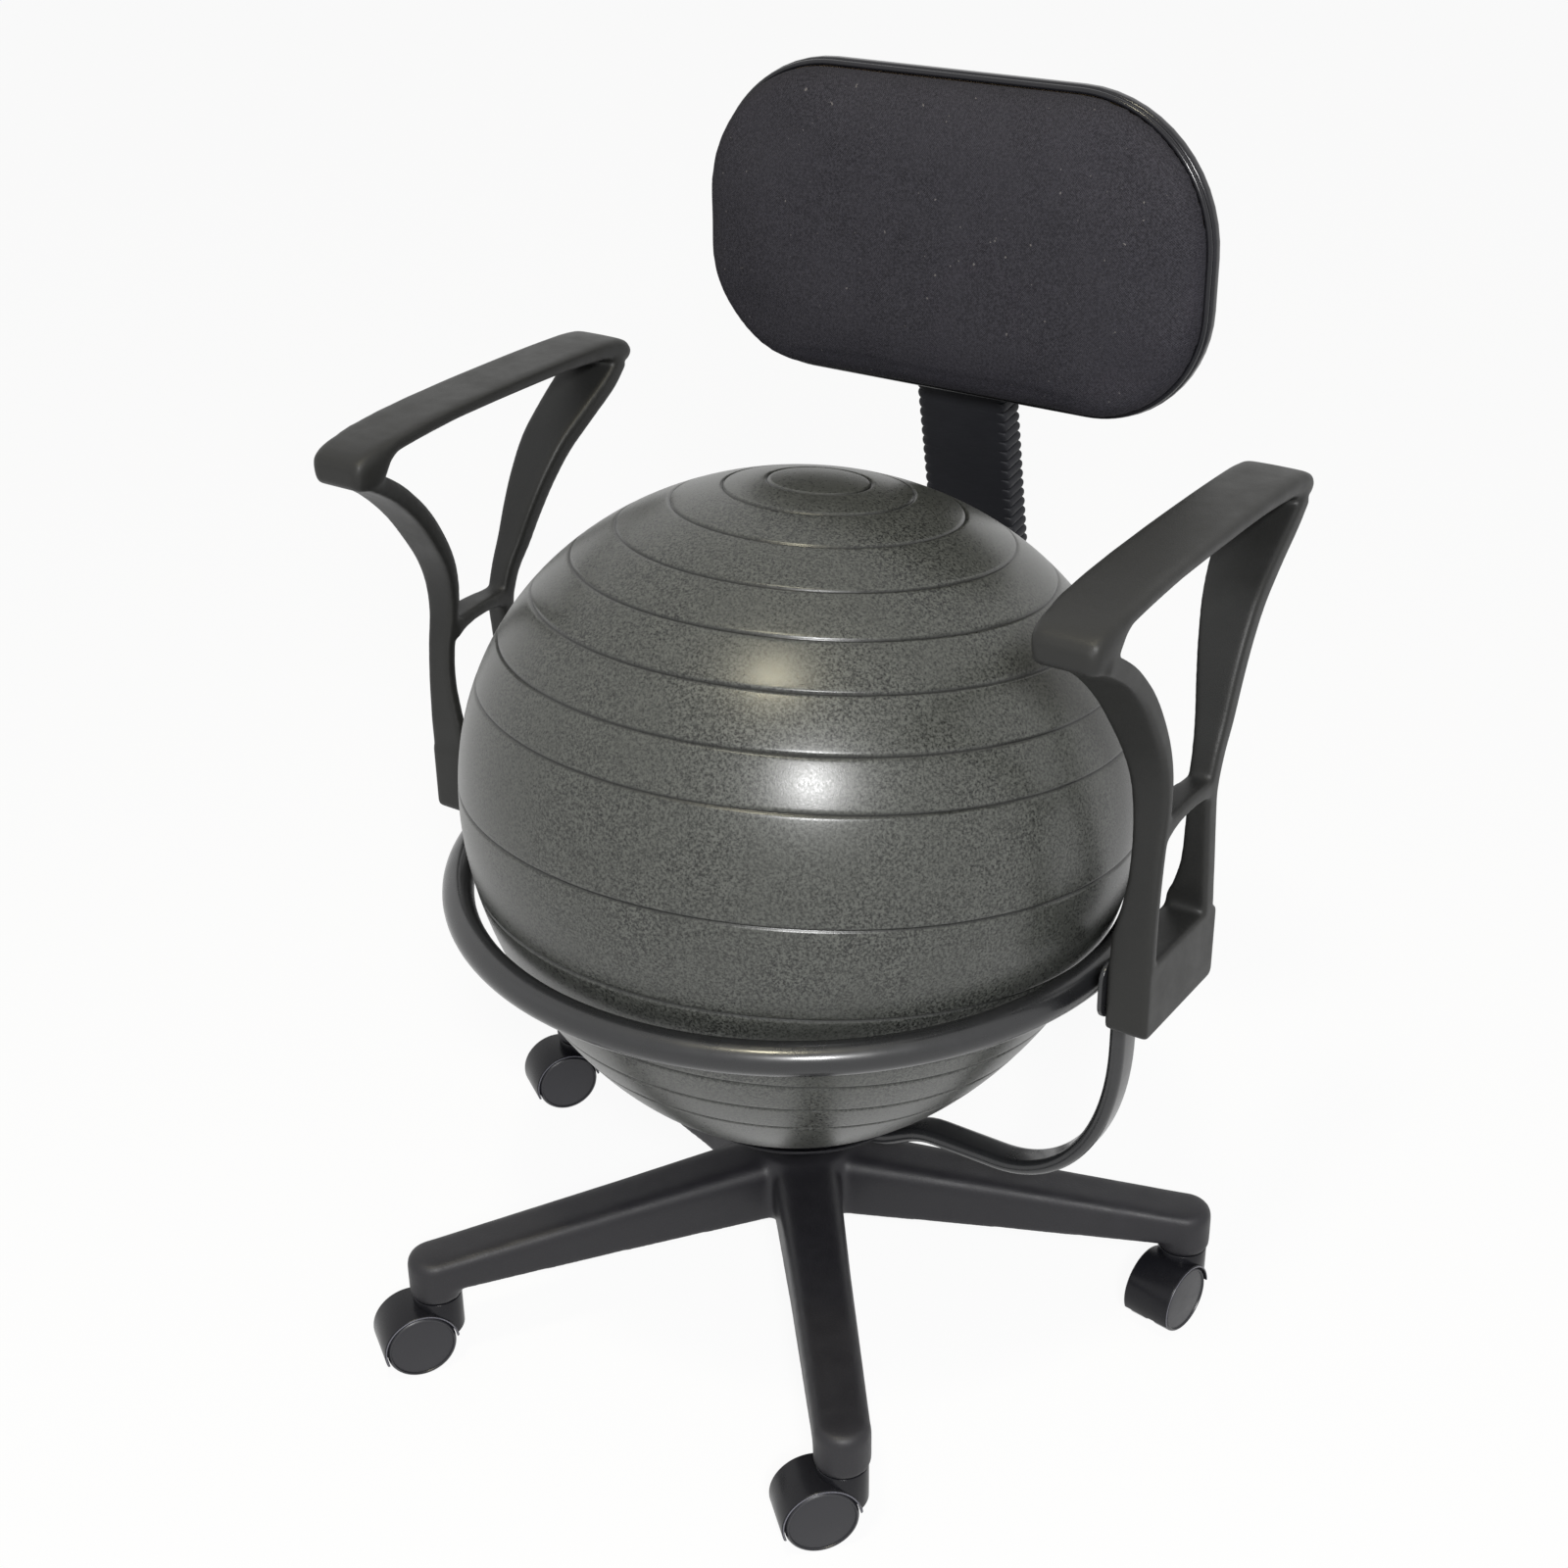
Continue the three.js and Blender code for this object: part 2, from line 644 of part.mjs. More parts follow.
function starBase() {
  const hub = rod(hubOuterRadius, hubBottomZ, hubTopZ, hubSides);
  const hollow = cut(join(hub, ...roundStar(legOuter), ...roundStar(tipBoss)), ...roundStar(legCavity));
  const ribbed = join(hollow, ...roundStar(legRibs), rod(hubBossRadius, hubBottomZ, hubTopZ, bossSides));
  const bore = rod(spigotRadius + 2 * gap, hubBottomZ - overrun, hubTopZ + overrun, bossSides);
  return cut(ribbed, bore, ...roundStar(stemSocket));
}

const star = new THREE.Group();
star.rotation.z = THREE.MathUtils.degToRad(starTurnDegrees);
chair.add(star);
addPiece('star_base', starBase(), finishes.nylon, star);

const washerTopZ = hubBottomZ - gap;
const washerBottomZ = washerTopZ - hubWasherDepth;
const washerBoreRadius = hubBoltRadius + 2 * gap;
addPiece('hub_washer', turned([
  [washerBoreRadius, washerBottomZ], [hubWasherRadius, washerBottomZ], [hubWasherRadius, washerTopZ],
  [washerBoreRadius, washerTopZ], [washerBoreRadius, washerBottomZ],
], hubSides / 2), finishes.zinc);
addPiece('hub_bolt', hexBolt(
  hubBoltRadius, hubBoltHeadFlats, hubBoltHeadDepth, hubBoltReach,
), finishes.zinc).position.z = washerBottomZ - gap;

// Casters

const hoodTopZ = tipBossBottomZ - gap;

function casterHood() {
  const atAxle = (body) => body.translate(0, -casterTrail, wheelRadius);
  const fender = atAxle(rodX(hoodRadius, -hoodHalfWidth, hoodHalfWidth, wheelSides));
  const neck = rod(neckRadius, hoodFrontCutZ, hoodTopZ, bossSides);
  const wells = [1, -1].map((side) => atAxle(
    rodX(hoodWellRadius, side * webHalfWidth, side * (hoodHalfWidth + overrun), wheelSides)));
  const run = casterTrail + hoodRadius + neckRadius;
  const slope = Math.atan2(hoodFrontCutZ - hoodRearCutZ, run);
  const lowerCut = box(
    [-hoodHalfWidth - overrun, -run, -wheelRadius * 2], [hoodHalfWidth + overrun, run, 0],
  ).rotateX(slope).translate(0, neckRadius, hoodFrontCutZ);
  const body = cut(join(fender, neck), ...wells, lowerCut);
  const boss = atAxle(rodX(axleBossRadius, -webHalfWidth, webHalfWidth));
  return cut(
    join(body, boss),
    atAxle(rodX(axleRadius + gap, -hoodHalfWidth, hoodHalfWidth)),
    rod(stemRadius + gap, stemFootZ - gap, hoodTopZ + overrun, pinSides),
  );
}

function wheel() {
  const inner = webHalfWidth + gap;
  return turned([
    [0, axleHalfLength + gap], [axleRadius + gap, axleHalfLength + gap], [axleRadius + gap, inner],
    [wheelRadius, inner],
    [wheelRadius, wheelOuterFace - wheelShoulder], [wheelFaceRadius, wheelOuterFace],
    [wheelFaceRadius - wheelFaceStep, wheelOuterFace - wheelFaceStep], [0, wheelOuterFace - wheelFaceStep],
  ], wheelSides).rotateY(Math.PI / 2);
}

casters.forEach(({ name, swivelDegrees }, i) => {
  const angle = legAngles[i] + star.rotation.z;
  const caster = new THREE.Group();
  caster.position.set(stemRadiusFromCentre * Math.cos(angle), stemRadiusFromCentre * Math.sin(angle), 0);
  caster.rotation.z = THREE.MathUtils.degToRad(swivelDegrees);
  chair.add(caster);
  const label = `caster_${name}`;
  addPiece(`${label}_hood`, casterHood(), finishes.gloss, caster);
  const stem = rod(stemRadius, stemFootZ, stemSocketTopZ - gap, pinSides);
  addPiece(`${label}_stem`, stem, finishes.zinc, caster);
  const axle = new THREE.Group();
  axle.position.set(0, -casterTrail, wheelRadius);
  caster.add(axle);
  addPiece(`${label}_axle`, rodX(axleRadius, -axleHalfLength, axleHalfLength), finishes.zinc, axle);
  addPiece(`${label}_wheel_outer`, wheel(), finishes.gloss, axle);
  addPiece(`${label}_wheel_inner`, wheel(), finishes.gloss, axle).rotation.z = Math.PI;
});

// Armrests, made for the +X side and mirrored for the other

// A band section of a given width and depth whose outer side is flush with the armrest's.
function bandSection(width, depth) {
  return roundedRectangle(width / 2, depth / 2, strapEdge, 1).map(([u, v]) => [u - width / 2, v]);
}

const armPoint = (yShare, z) => new THREE.Vector3(armOuterX, yShare * armReach, z);

function strap(stationShares) {
  const path = stationShares.map(([y, z]) => armPoint(y, armBottomZ + z * armRise));
  const sectionAt = (i) => bandSection(stationShares[i][3] * strapWidth, stationShares[i][2] * strapDepth);
  return sweep(sectionAt, path, new THREE.Vector3(1, 0, 0));
}

// The strap's station nearest to the bridge's height.
function waistOf(stationShares) {
  const missBy = (station) => Math.abs(station[1] - bridgeRiseShare);
  return stationShares.reduce((best, station) => (missBy(station) < missBy(best) ? station : best));
}

// The thin web between the waists of the two straps.
function bridge() {
  const [front, rear] = [waistOf(frontStrapShares), waistOf(rearStrapShares)];
  const shares = Array.from({ length: bridgeSteps + 1 }, (_, i) => i / bridgeSteps);
  const path = shares.map((share) =>
    armPoint(mix(front[0], rear[0], share), bridgeZ + bridgeArch * Math.sin(share * Math.PI)));
  const sectionAt = (i) => bandSection(mix(front[3], rear[3], shares[i]) * strapWidth, bridgeDepth);
  return sweep(sectionAt, path, new THREE.Vector3(1, 0, 0));
}

// Turns a plate drawn in (y, z) with its depth along Z so that its depth runs along X.
const faceX = (geometry) => geometry.rotateY(Math.PI / 2).rotateX(Math.PI / 2);

function armBase() {
  const middleY = (armBaseFrontY + armBaseRearY) / 2;
  const outline = roundedRectangle(
    (armBaseRearY - armBaseFrontY) / 2, armBaseHeight / 2, armBaseCorner, cornerSteps);
  return faceX(plate(outline, armOuterX - armInnerX, armBaseEdge))
    .translate(armInnerX, middleY, armBottomZ + armBaseHeight / 2);
}

function armPad() {
  const halfWidth = padWidth / 2;
  return loft(padStationShares.map(({ along, half, crown, depth }) => {
    const y = mix(padFrontY, padRearY, along);
    const right = padSectionShares.map(([u, v]) => [
      u * half * halfWidth, padCrownZ + (crown - (1 - v) * depth) * padDepth,
    ]);
    const left = right.slice(1).map(([u, z]) => [-u, z]).reverse();
    return [...right, ...left].map(([u, z]) => new THREE.Vector3(padOuterX - halfWidth + u, y, z));
  }));
}

const armBoltYs = [-armBoltSpread, armBoltSpread];

function armBoltHoles(from, to) {
  return armBoltYs.map((y) => rodX(boltRadius + gap, from, to).translate(0, y, armBoltZ));
}

function armrest() {
  const body = join(armBase(), strap(frontStrapShares), strap(rearStrapShares), bridge(), armPad());
  return cut(body, ...armBoltHoles(armInnerX - overrun, bracketX + armBoltReach + gap));
}

function armBracket() {
  const outline = roundedRectangle(bracketHalfLength, bracketHeight / 2, bracketCorner, cornerSteps);
  const body = faceX(plate(outline, bracketThickness))
    .translate(bracketX, 0, bracketBottomZ + bracketHeight / 2);
  return cut(body, ...armBoltHoles(bracketX - overrun, armInnerX + overrun));
}

for (const [side, mirror] of [['right', 1], ['left', -1]]) {
  const arm = new THREE.Group();
  arm.scale.x = mirror;
  chair.add(arm);
  addPiece(`armrest_${side}`, armrest(), finishes.nylon, arm);
  addPiece(`arm_bracket_${side}`, armBracket(), finishes.steel, arm);
  [['front', armBoltYs[0]], ['rear', armBoltYs[1]]].forEach(([place, y]) => {
    const bolt = hexBolt(boltRadius, boltHeadFlats, boltHeadDepth, armBoltReach).rotateY(Math.PI / 2);
    addPiece(`arm_bolt_${side}_${place}`, bolt, finishes.zinc, arm)
      .position.set(bracketX - gap, y, armBoltZ);
  });
}

// Back bar, its bolts and the bellows over it

// A path through corner points with its inner corners eased.
function easedPath(corners, reach) {
  return corners.flatMap((corner, i) => {
    if (i === 0 || i === corners.length - 1) return [corner];
    const towards = (other) => corner.clone().add(other.clone().sub(corner).setLength(reach));
    return new THREE.QuadraticBezierCurve3(towards(corners[i - 1]), corner, towards(corners[i + 1]))
      .getPoints(cornerSteps + 1);
  });
}

function backBar() {
  const at = (y, z) => new THREE.Vector3(0, y, z);
  const path = easedPath([
    at(barFootY, barBottomZ), at(barFootY, barLeanStartZ), at(barTopY, barLeanEndZ), at(barTopY, barTopZ),
  ], barBendReach);
  const section = roundedRectangle(barWidth / 2, barThickness / 2, barThickness / 6, 1);
  const body = sweep(() => section, path, new THREE.Vector3(1, 0, 0));
  return cut(body, ...barBoltZs.map((z) =>
    rodY(boltRadius + gap, barFootY - barThickness, barFootY + barThickness).translate(0, 0, z)));
}
addPiece('back_bar', backBar(), finishes.steel);

const barRearY = barFootY + barThickness / 2;
['lower', 'upper'].forEach((place, i) => {
  const bolt = hexBolt(boltRadius, boltHeadFlats, boltHeadDepth, barBoltReach).rotateX(Math.PI / 2);
  addPiece(`bar_bolt_${place}`, bolt, finishes.zinc).position.set(0, barRearY + gap, barBoltZs[i]);
});

// A sleeve with ribbed sides and a smooth front, on the leaning part of the bar.
function bellows() {
  const lean = Math.atan2(barFootY - barTopY, barLeanEndZ - barLeanStartZ);
  const length = (bellowsTopZ - bellowsBottomZ) / Math.cos(lean);
  const ribRun = length - 2 * bellowsCuff;
  const ringAt = (height, reach) => {
    const w = bellowsHalfWidth + reach;
    const [front, rear, c] = [-bellowsHalfDepth, bellowsHalfDepth + reach, bellowsCorner];
    return [
      [w, front + c], [w, rear - c], [w - c, rear], [c - w, rear], [-w, rear - c], [-w, front + c],
      [c - w - reach, front], [w + reach - c, front],
    ].map(([x, y]) => new THREE.Vector3(x, y, height));
  };
  const rings = [ringAt(0, 0)];
  for (let i = 0; i < bellowsRibs; i++) {
    const start = bellowsCuff + i * ribRun / bellowsRibs;
    rings.push(ringAt(start, 0), ringAt(start + ribRun / bellowsRibs / 2, bellowsRibReach));
  }
  rings.push(ringAt(length - bellowsCuff, 0), ringAt(length, 0));
  const halfBore = [barWidth / 2 + gap, barThickness / 2 + gap];
  const bore = box([-halfBore[0], -halfBore[1], -overrun], [halfBore[0], halfBore[1], length + overrun]);
  const rise = bellowsBottomZ - barLeanStartZ;
  return cut(loft(rings), bore).rotateX(lean)
    .translate(0, barFootY - rise * Math.tan(lean), bellowsBottomZ);
}
addPiece('bar_bellows', bellows(), finishes.boot);

// Backrest: everything here slides on the bar

const backrest = new THREE.Group();
chair.add(backrest);

// Turns a plate drawn in (x, z) with its depth along Z so that its depth runs along +Y.
const faceY = (geometry) => geometry.rotateX(-Math.PI / 2);

function backOutline(inset) {
  return roundedRectangle(
    backWidth / 2 - inset, backHeight / 2 - inset, backCornerRadius - inset, bendSteps);
}

const backRing = (inset, y) =>
  backOutline(inset).map(([x, z]) => new THREE.Vector3(x, y, backCentreZ + z));

const cushionRearY = barTopY - cushionRearReach;

function cushion() {
  const depth = cushionFrontReach - cushionRearReach;
  return loft(cushionShares.map(([along, inward]) =>
    backRing(cushionInset + inward * depth, cushionRearY - along * depth)));
}
addPiece('back_cushion', cushion(), finishes.fabric, backrest);

const shellFrontY = cushionRearY + gap;
const shellRearY = shellFrontY + shellDepth;

function backShell() {
  const outer = loft([
    backRing(0, shellFrontY), backRing(0, shellRearY - shellEdge),
    backRing(shellEdgeShare * shellEdge, shellRearY - shellEdgeShare * shellEdge),
    backRing(shellEdge, shellRearY),
  ]);
  const hollow = loft([
    backRing(shellWall, shellFrontY - overrun), backRing(shellWall, shellFrontY + gap + boardDepth),
  ]);
  return cut(outer, hollow, ...screwHoles(shellFrontY, shellRearY + overrun));
}

function screwHoles(from, to) {
  return screwPlaces.map(([x, z]) => rodY(screwRadius + gap, from, to).translate(x, 0, z));
}

const screwPlaces = [[-1, -1], [1, -1], [1, 1], [-1, 1]].map(([u, v]) => [
  u * screwSpreadX, backBracketZ + v * screwSpreadZ,
]);

function backBoard() {
  const body = loft([
    backRing(shellWall + gap, shellFrontY), backRing(shellWall + gap, shellFrontY + boardDepth),
  ]);
  return cut(body, ...screwHoles(shellFrontY - overrun, shellRearY));
}
addPiece('back_shell', backShell(), finishes.gloss, backrest);
addPiece('back_board', backBoard(), finishes.wood, backrest);

const flangeFrontY = shellRearY + gap;
const flangeRearY = flangeFrontY + backBracketFlange;
const housingRearY = flangeRearY + backHousingDepth;

function backBracket() {
  const flange = plate(roundedRectangle(
    backBracketWidth / 2, backBracketHeight / 2, backBracketCorner, cornerSteps), backBracketFlange);
  const housing = plate(roundedRectangle(
    backHousingWidth / 2, backBracketHeight / 2, backHousingCorner, cornerSteps,
  ), backHousingDepth + backBracketFlange / 2, backHousingEdge);
  const body = join(
    faceY(flange).translate(0, flangeFrontY, backBracketZ),
    faceY(housing).translate(0, flangeRearY - backBracketFlange / 2, backBracketZ),
  );
  const halfSlot = [barWidth / 2 + gap, barThickness / 2 + gap];
  const slot = box(
    [-halfSlot[0], barTopY - halfSlot[1], backBracketZ - backBracketHeight],
    [halfSlot[0], barTopY + halfSlot[1], backBracketZ + backBracketHeight],
  );
  const knobHole = rodY(knobShankRadius + gap, barTopY, housingRearY + overrun).translate(0, 0, knobZ);
  return cut(body, slot, knobHole, ...screwHoles(flangeFrontY - overrun, flangeRearY + overrun));
}
addPiece('back_bracket', backBracket(), finishes.nylon, backrest);

const screwLength = flangeRearY - shellFrontY - gap;
screwPlaces.forEach(([x, z], i) => {
  const screw = turned([
    [0, -screwLength], [screwRadius, -screwLength], [screwRadius, 0], [screwHeadRadius, 0],
    [screwHeadRadius, screwHeadDepth / 2], [screwHeadRadius / 2, screwHeadDepth], [0, screwHeadDepth],
  ], smallSides).rotateX(-Math.PI / 2);
  addPiece(`back_screw_${i + 1}`, screw, finishes.zinc, backrest).position.set(x, flangeRearY + gap, z);
});

function knob() {
  const count = knobLobes * knobLobeSteps;
  const outline = Array.from({ length: count }, (_, i) => {
    const angle = i / count * 2 * Math.PI;
    const radius = knobRadius * (1 - knobLobeShare + knobLobeShare * Math.cos(knobLobes * angle));
    return [radius * Math.cos(angle), radius * Math.sin(angle)];
  });
  const grip = faceY(plate(outline, knobDepth, knobEdge)).translate(0, knobStandOff, 0);
  const shankReach = housingRearY - barTopY - barThickness / 2 - gap;
  return join(grip, rodY(knobShankRadius, -shankReach, knobStandOff + knobDepth / 2));
}
addPiece('back_knob', knob(), finishes.nylon, backrest).position.set(0, housingRearY, knobZ);

// The origin is the middle of the chair's footprint at floor level.
const bounds = new THREE.Box3().setFromObject(chair, true);
const middle = bounds.getCenter(new THREE.Vector3());
chair.position.set(-middle.x, -middle.y, -bounds.min.z);

export default chair;
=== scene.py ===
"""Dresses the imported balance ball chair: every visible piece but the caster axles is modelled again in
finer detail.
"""

import math

import bmesh
import bpy
import numpy as np
from bpy.props import FloatProperty, FloatVectorProperty, IntProperty, PointerProperty
from mathutils import Matrix, Vector
from mathutils.geometry import interpolate_bezier


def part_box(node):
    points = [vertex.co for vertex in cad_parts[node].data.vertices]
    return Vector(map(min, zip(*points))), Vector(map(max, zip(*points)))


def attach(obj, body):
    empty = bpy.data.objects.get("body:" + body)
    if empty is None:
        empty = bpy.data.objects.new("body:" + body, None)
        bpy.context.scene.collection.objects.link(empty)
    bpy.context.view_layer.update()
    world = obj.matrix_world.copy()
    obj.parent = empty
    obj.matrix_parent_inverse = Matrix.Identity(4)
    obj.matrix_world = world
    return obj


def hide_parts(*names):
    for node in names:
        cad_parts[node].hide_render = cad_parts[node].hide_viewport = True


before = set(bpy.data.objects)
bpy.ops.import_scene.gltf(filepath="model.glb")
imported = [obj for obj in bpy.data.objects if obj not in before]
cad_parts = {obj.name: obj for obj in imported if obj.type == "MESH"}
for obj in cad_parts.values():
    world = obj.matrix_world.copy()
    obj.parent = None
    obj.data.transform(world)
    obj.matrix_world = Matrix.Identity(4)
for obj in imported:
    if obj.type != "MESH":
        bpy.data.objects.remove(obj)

bl_info = {
    "name": "Balance Ball Chair",
    "version": (1, 0, 0),
    "blender": (4, 5, 0),
    "location": "View3D > Sidebar > Ball Chair",
    "description": "Builds the dressed pieces of a balance ball chair round its packed model",
    "category": "Add Mesh",
}

# Values shared by many pieces. Places are in metres about the centre of the star base, on the floor.
# An overrun is how far a cutting tool reaches past what it cuts

CASTER_NAMES = ("rear", "left", "front_left", "front_right", "right")
MERGE = 1e-6
GAP = 0.0003
OVERRUN = 0.01
MOUTH_OVERRUN = 0.004
BOLT_RADIUS = 0.004
BOLT_HEAD = (0.013, 0.0053)
BOLT_TIP = 0.0006
QUARTER = math.pi / 2
UP = Vector((0, 0, 1))
ASIDE = Vector((1, 0, 0))
BEHIND = Vector((0, 1, 0))
TO_X = Matrix.Rotation(QUARTER, 4, "Y")
TO_Y = Matrix.Rotation(-QUARTER, 4, "X")
TO_FRONT = Matrix.Rotation(QUARTER, 4, "X")


def middle_of(node):
    low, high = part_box(node)
    return (low + high) / 2


def hub_place():
    """Centre of the star base on the floor, in the frame."""
    middle = middle_of("frame_hub")
    return Vector((middle.x, middle.y, 0))


HUB = hub_place()


def length(name, description, default):
    return FloatProperty(name=name, description=description, default=default, unit="LENGTH", precision=5)


def angle(name, description, degrees):
    return FloatProperty(name=name, description=description, default=math.radians(degrees), unit="ROTATION")


def count(name, description, default):
    return IntProperty(name=name, description=description, default=default, min=1)


def amount(name, description, default):
    return FloatProperty(name=name, description=description, default=default)


def colour(name, description, default):
    return FloatVectorProperty(
        name=name, description=description, default=default, size=3, min=0, max=1, subtype="COLOR")


# Settings


class BallSettings(bpy.types.PropertyGroup):
    radius: length("Radius", "Mean radius of the inflated ball", 0.2321)
    centre_x: length("Centre X", "How far the ball sits off the hub's middle", 0.0015)
    centre_z: length("Centre Z", "Height of the ball's middle", 0.3935)
    lean: angle("Lean", "How far the grooved pole leans back", 6.7)
    groove_width: length("Groove width", "Width of each moulded groove", 0.0034)
    groove_depth: length("Groove depth", "Depth of each moulded groove", 0.0011)
    segments: count("Segments", "Segments round the ball", 180)
    tint: colour("Tint", "Colour of the vinyl", (0.041, 0.043, 0.0395))


class FrameSettings(bpy.types.PropertyGroup):
    hoop_radius: length("Hoop radius", "Radius of the hoop's centre line", 0.2362)
    hoop_z: length("Hoop height", "Height of the hoop's centre line", 0.3388)
    tube_radius: length("Tube radius", "Radius of the hoop's tube", 0.011)
    strut_width: length("Strut width", "Width of the flat-oval struts", 0.024)
    strut_depth: length("Strut depth", "Thickness of the flat-oval struts", 0.011)
    bead: length("Weld bead", "Radius of the weld beads", 0.0026)
    dish_radius: length("Dish radius", "Radius of the dish under the ball", 0.084)
    tint: colour("Tint", "Colour of the powder coat", (0.0125, 0.013, 0.0145))


class BaseSettings(bpy.types.PropertyGroup):
    turn: angle("Turn", "How far the star is turned on its post", 2.68)
    stem_reach: length("Stem reach", "Radius of the circle through the caster stems", 0.2832)
    leg_edge: length("Leg edge", "Radius of a leg's soft top edges at the hub", 0.0120)
    tip_edge: length("Tip edge", "Radius of the soft top edges at a leg's tip", 0.0070)
    cell: length("Cell", "Size of the cells that the star is fused with", 0.0019)
    fillet_passes: count("Fillet passes", "How far the inner corners are filled", 60)
    tint: colour("Tint", "Colour of the base's moulded nylon", (0.0120, 0.0116, 0.0142))


class CasterSettings(bpy.types.PropertyGroup):
    wheel_radius: length("Wheel radius", "Radius of the twin wheels", 0.025)
    trail: length("Trail", "How far the axle trails behind the stem", 0.0178)
    hood_radius: length("Hood radius", "Radius of the hood over the wheels", 0.0273)
    hood_half_width: length("Hood half width", "Half of the hood's width", 0.0182)
    segments: count("Segments", "Segments round a wheel", 72)
    tint: colour("Tint", "Colour of the wheels and hoods", (0.0125, 0.0125, 0.0155))


class ArmrestSettings(bpy.types.PropertyGroup):
    outer_x: length("Outer X", "How far out the armrests reach", 0.2915)
    strap_depth: length("Strap depth", "Full thickness of the band", 0.014)
    strap_width: length("Strap width", "Full width of the band, under the pad", 0.047)
    edge: length("Edge", "Radius of the band's edges", 0.0026)
    rise: length("Rise", "Height of the armrest above its base", 0.293)
    reach: length("Reach", "Half of the armrest's length", 0.150)
    bottom_z: length("Bottom", "Height of the armrest's lower end", 0.325)
    cell: length("Cell", "Size of the cells that the moulding is fused with", 0.0014)
    fillet_passes: count("Fillet passes", "How far the inner corners are filled", 34)
    tint: colour("Tint", "Colour of the armrests' moulded nylon", (0.0160, 0.0162, 0.0156))


class BackSettings(bpy.types.PropertyGroup):
    width: length("Width", "Width of the backrest", 0.388)
    height: length("Height", "Height of the backrest", 0.218)
    corner: length("Corner", "Radius of the backrest's lower corners", 0.084)
    top_corner: length("Top corner", "Radius of the backrest's upper corners", 0.100)
    centre_z: length("Centre Z", "Height of the backrest's middle", 0.7385)
    pressure: amount("Pressure", "How hard the foam pushes the cover out", 4.0)
    swell: length("Swell", "How far the foam may push the cover", 0.006)
    tension: count("Tension", "How often the cover's swell is evened out, as its tension does", 24)
    piping: length("Piping", "Radius of the cord sewn round the cover", 0.0021)
    cloth_tint: colour("Cloth tint", "Colour of the cover's yarn", (0.0330, 0.0320, 0.0390))
    fleck_tint: colour("Fleck tint", "Colour of the few lighter threads", (0.16, 0.15, 0.15))


class BarSettings(bpy.types.PropertyGroup):
    width: length("Width", "Width of the flat back bar", 0.050)
    depth: length("Depth", "Thickness of the flat back bar", 0.006)
    top_y: length("Top Y", "Where the bar's upper end stands behind the hub", 0.214)
    lean_start_z: length("Lean start", "Height where the bar starts to lean", 0.396)
    lean_end_z: length("Lean end", "Height where the bar stands upright again", 0.650)
    bend: length("Bend", "Radius of the bar's bends", 0.030)
    ribs: count("Ribs", "Ribs of the bellows", 28)
    rib_reach: length("Rib reach", "How far each rib stands out", 0.004)
    tint: colour("Tint", "Colour of the bellows", (0.0145, 0.0150, 0.0180))


class StageSettings(bpy.types.PropertyGroup):
    azimuth: angle("Azimuth", "Turn of the camera about the chair", 34.131)
    elevation: angle("Elevation", "Height angle of the camera", 27.560)
    roll: angle("Roll", "Roll of the camera about its own axis", -0.737)
    lens: amount("Lens", "Focal length on a 36 mm sensor", 53.38)
    shift: amount("Shift", "Sideways shift of the picture", -0.0059)
    ambient: amount("Ambient", "Strength of the even light from all round", 0.24)
    key_power: amount("Key power", "Watts of the lamp beside the camera", 64.0)
    top_power: amount("Top power", "Watts of the warm lamp overhead", 25.0)
    fill_power: amount("Fill power", "Watts of the large lamp at the left", 0.7)
    floor_tint: colour("Floor tint", "Colour of the studio floor", (0.86, 0.86, 0.86))


SETTINGS = {
    "ball": BallSettings, "frame": FrameSettings, "base": BaseSettings, "caster": CasterSettings,
    "arm": ArmrestSettings, "back": BackSettings, "bar": BarSettings, "stage": StageSettings,
}


class ChairSettings(bpy.types.PropertyGroup):
    __annotations__ = {name: PointerProperty(type=group) for name, group in SETTINGS.items()}


# Making and shaping meshes


def closed(bm):
    """The mesh with coinciding points welded and all faces turned outward."""
    bmesh.ops.remove_doubles(bm, verts=bm.verts, dist=MERGE)
    bmesh.ops.recalc_face_normals(bm, faces=bm.faces)
    return bm


def spun(bm, steps):
    """The mesh's edges spun about the Z axis."""
    bmesh.ops.spin(
        bm, geom=[*bm.verts, *bm.edges], cent=(0, 0, 0), axis=UP, angle=math.tau, steps=steps, use_merge=True)
    return closed(bm)


def turned(profile, steps):
    """A profile of (radius, height) points spun about the Z axis."""
    bm = bmesh.new()
    points = [bm.verts.new((radius, 0, height)) for radius, height in profile]
    for pair in zip(points, points[1:]):
        bm.edges.new(pair)
    return spun(bm, steps)


def rounding(radius, steps):
    """A rounded corner, as how far each point lies in from the side and back from the end."""
    turns = [k / steps * QUARTER for k in range(steps + 1)]
    return [(radius * (1 - math.sin(turn)), radius * (1 - math.cos(turn))) for turn in turns]


def rod(radius, start, end, steps=24, rim=0.0):
    """A round rod along Z, with rounded rims where they have a radius."""
    corner = rounding(rim, 4) if rim else [(0, 0)]
    foot = [(radius - inward, start + along) for inward, along in corner]
    head = [(radius - inward, end - along) for inward, along in reversed(corner)]
    return turned([(0, start), *foot, *head, (0, end)], steps)


def circle(radius, steps):
    turns = [k * math.tau / steps for k in range(steps)]
    return [(radius * math.cos(turn), radius * math.sin(turn)) for turn in turns]


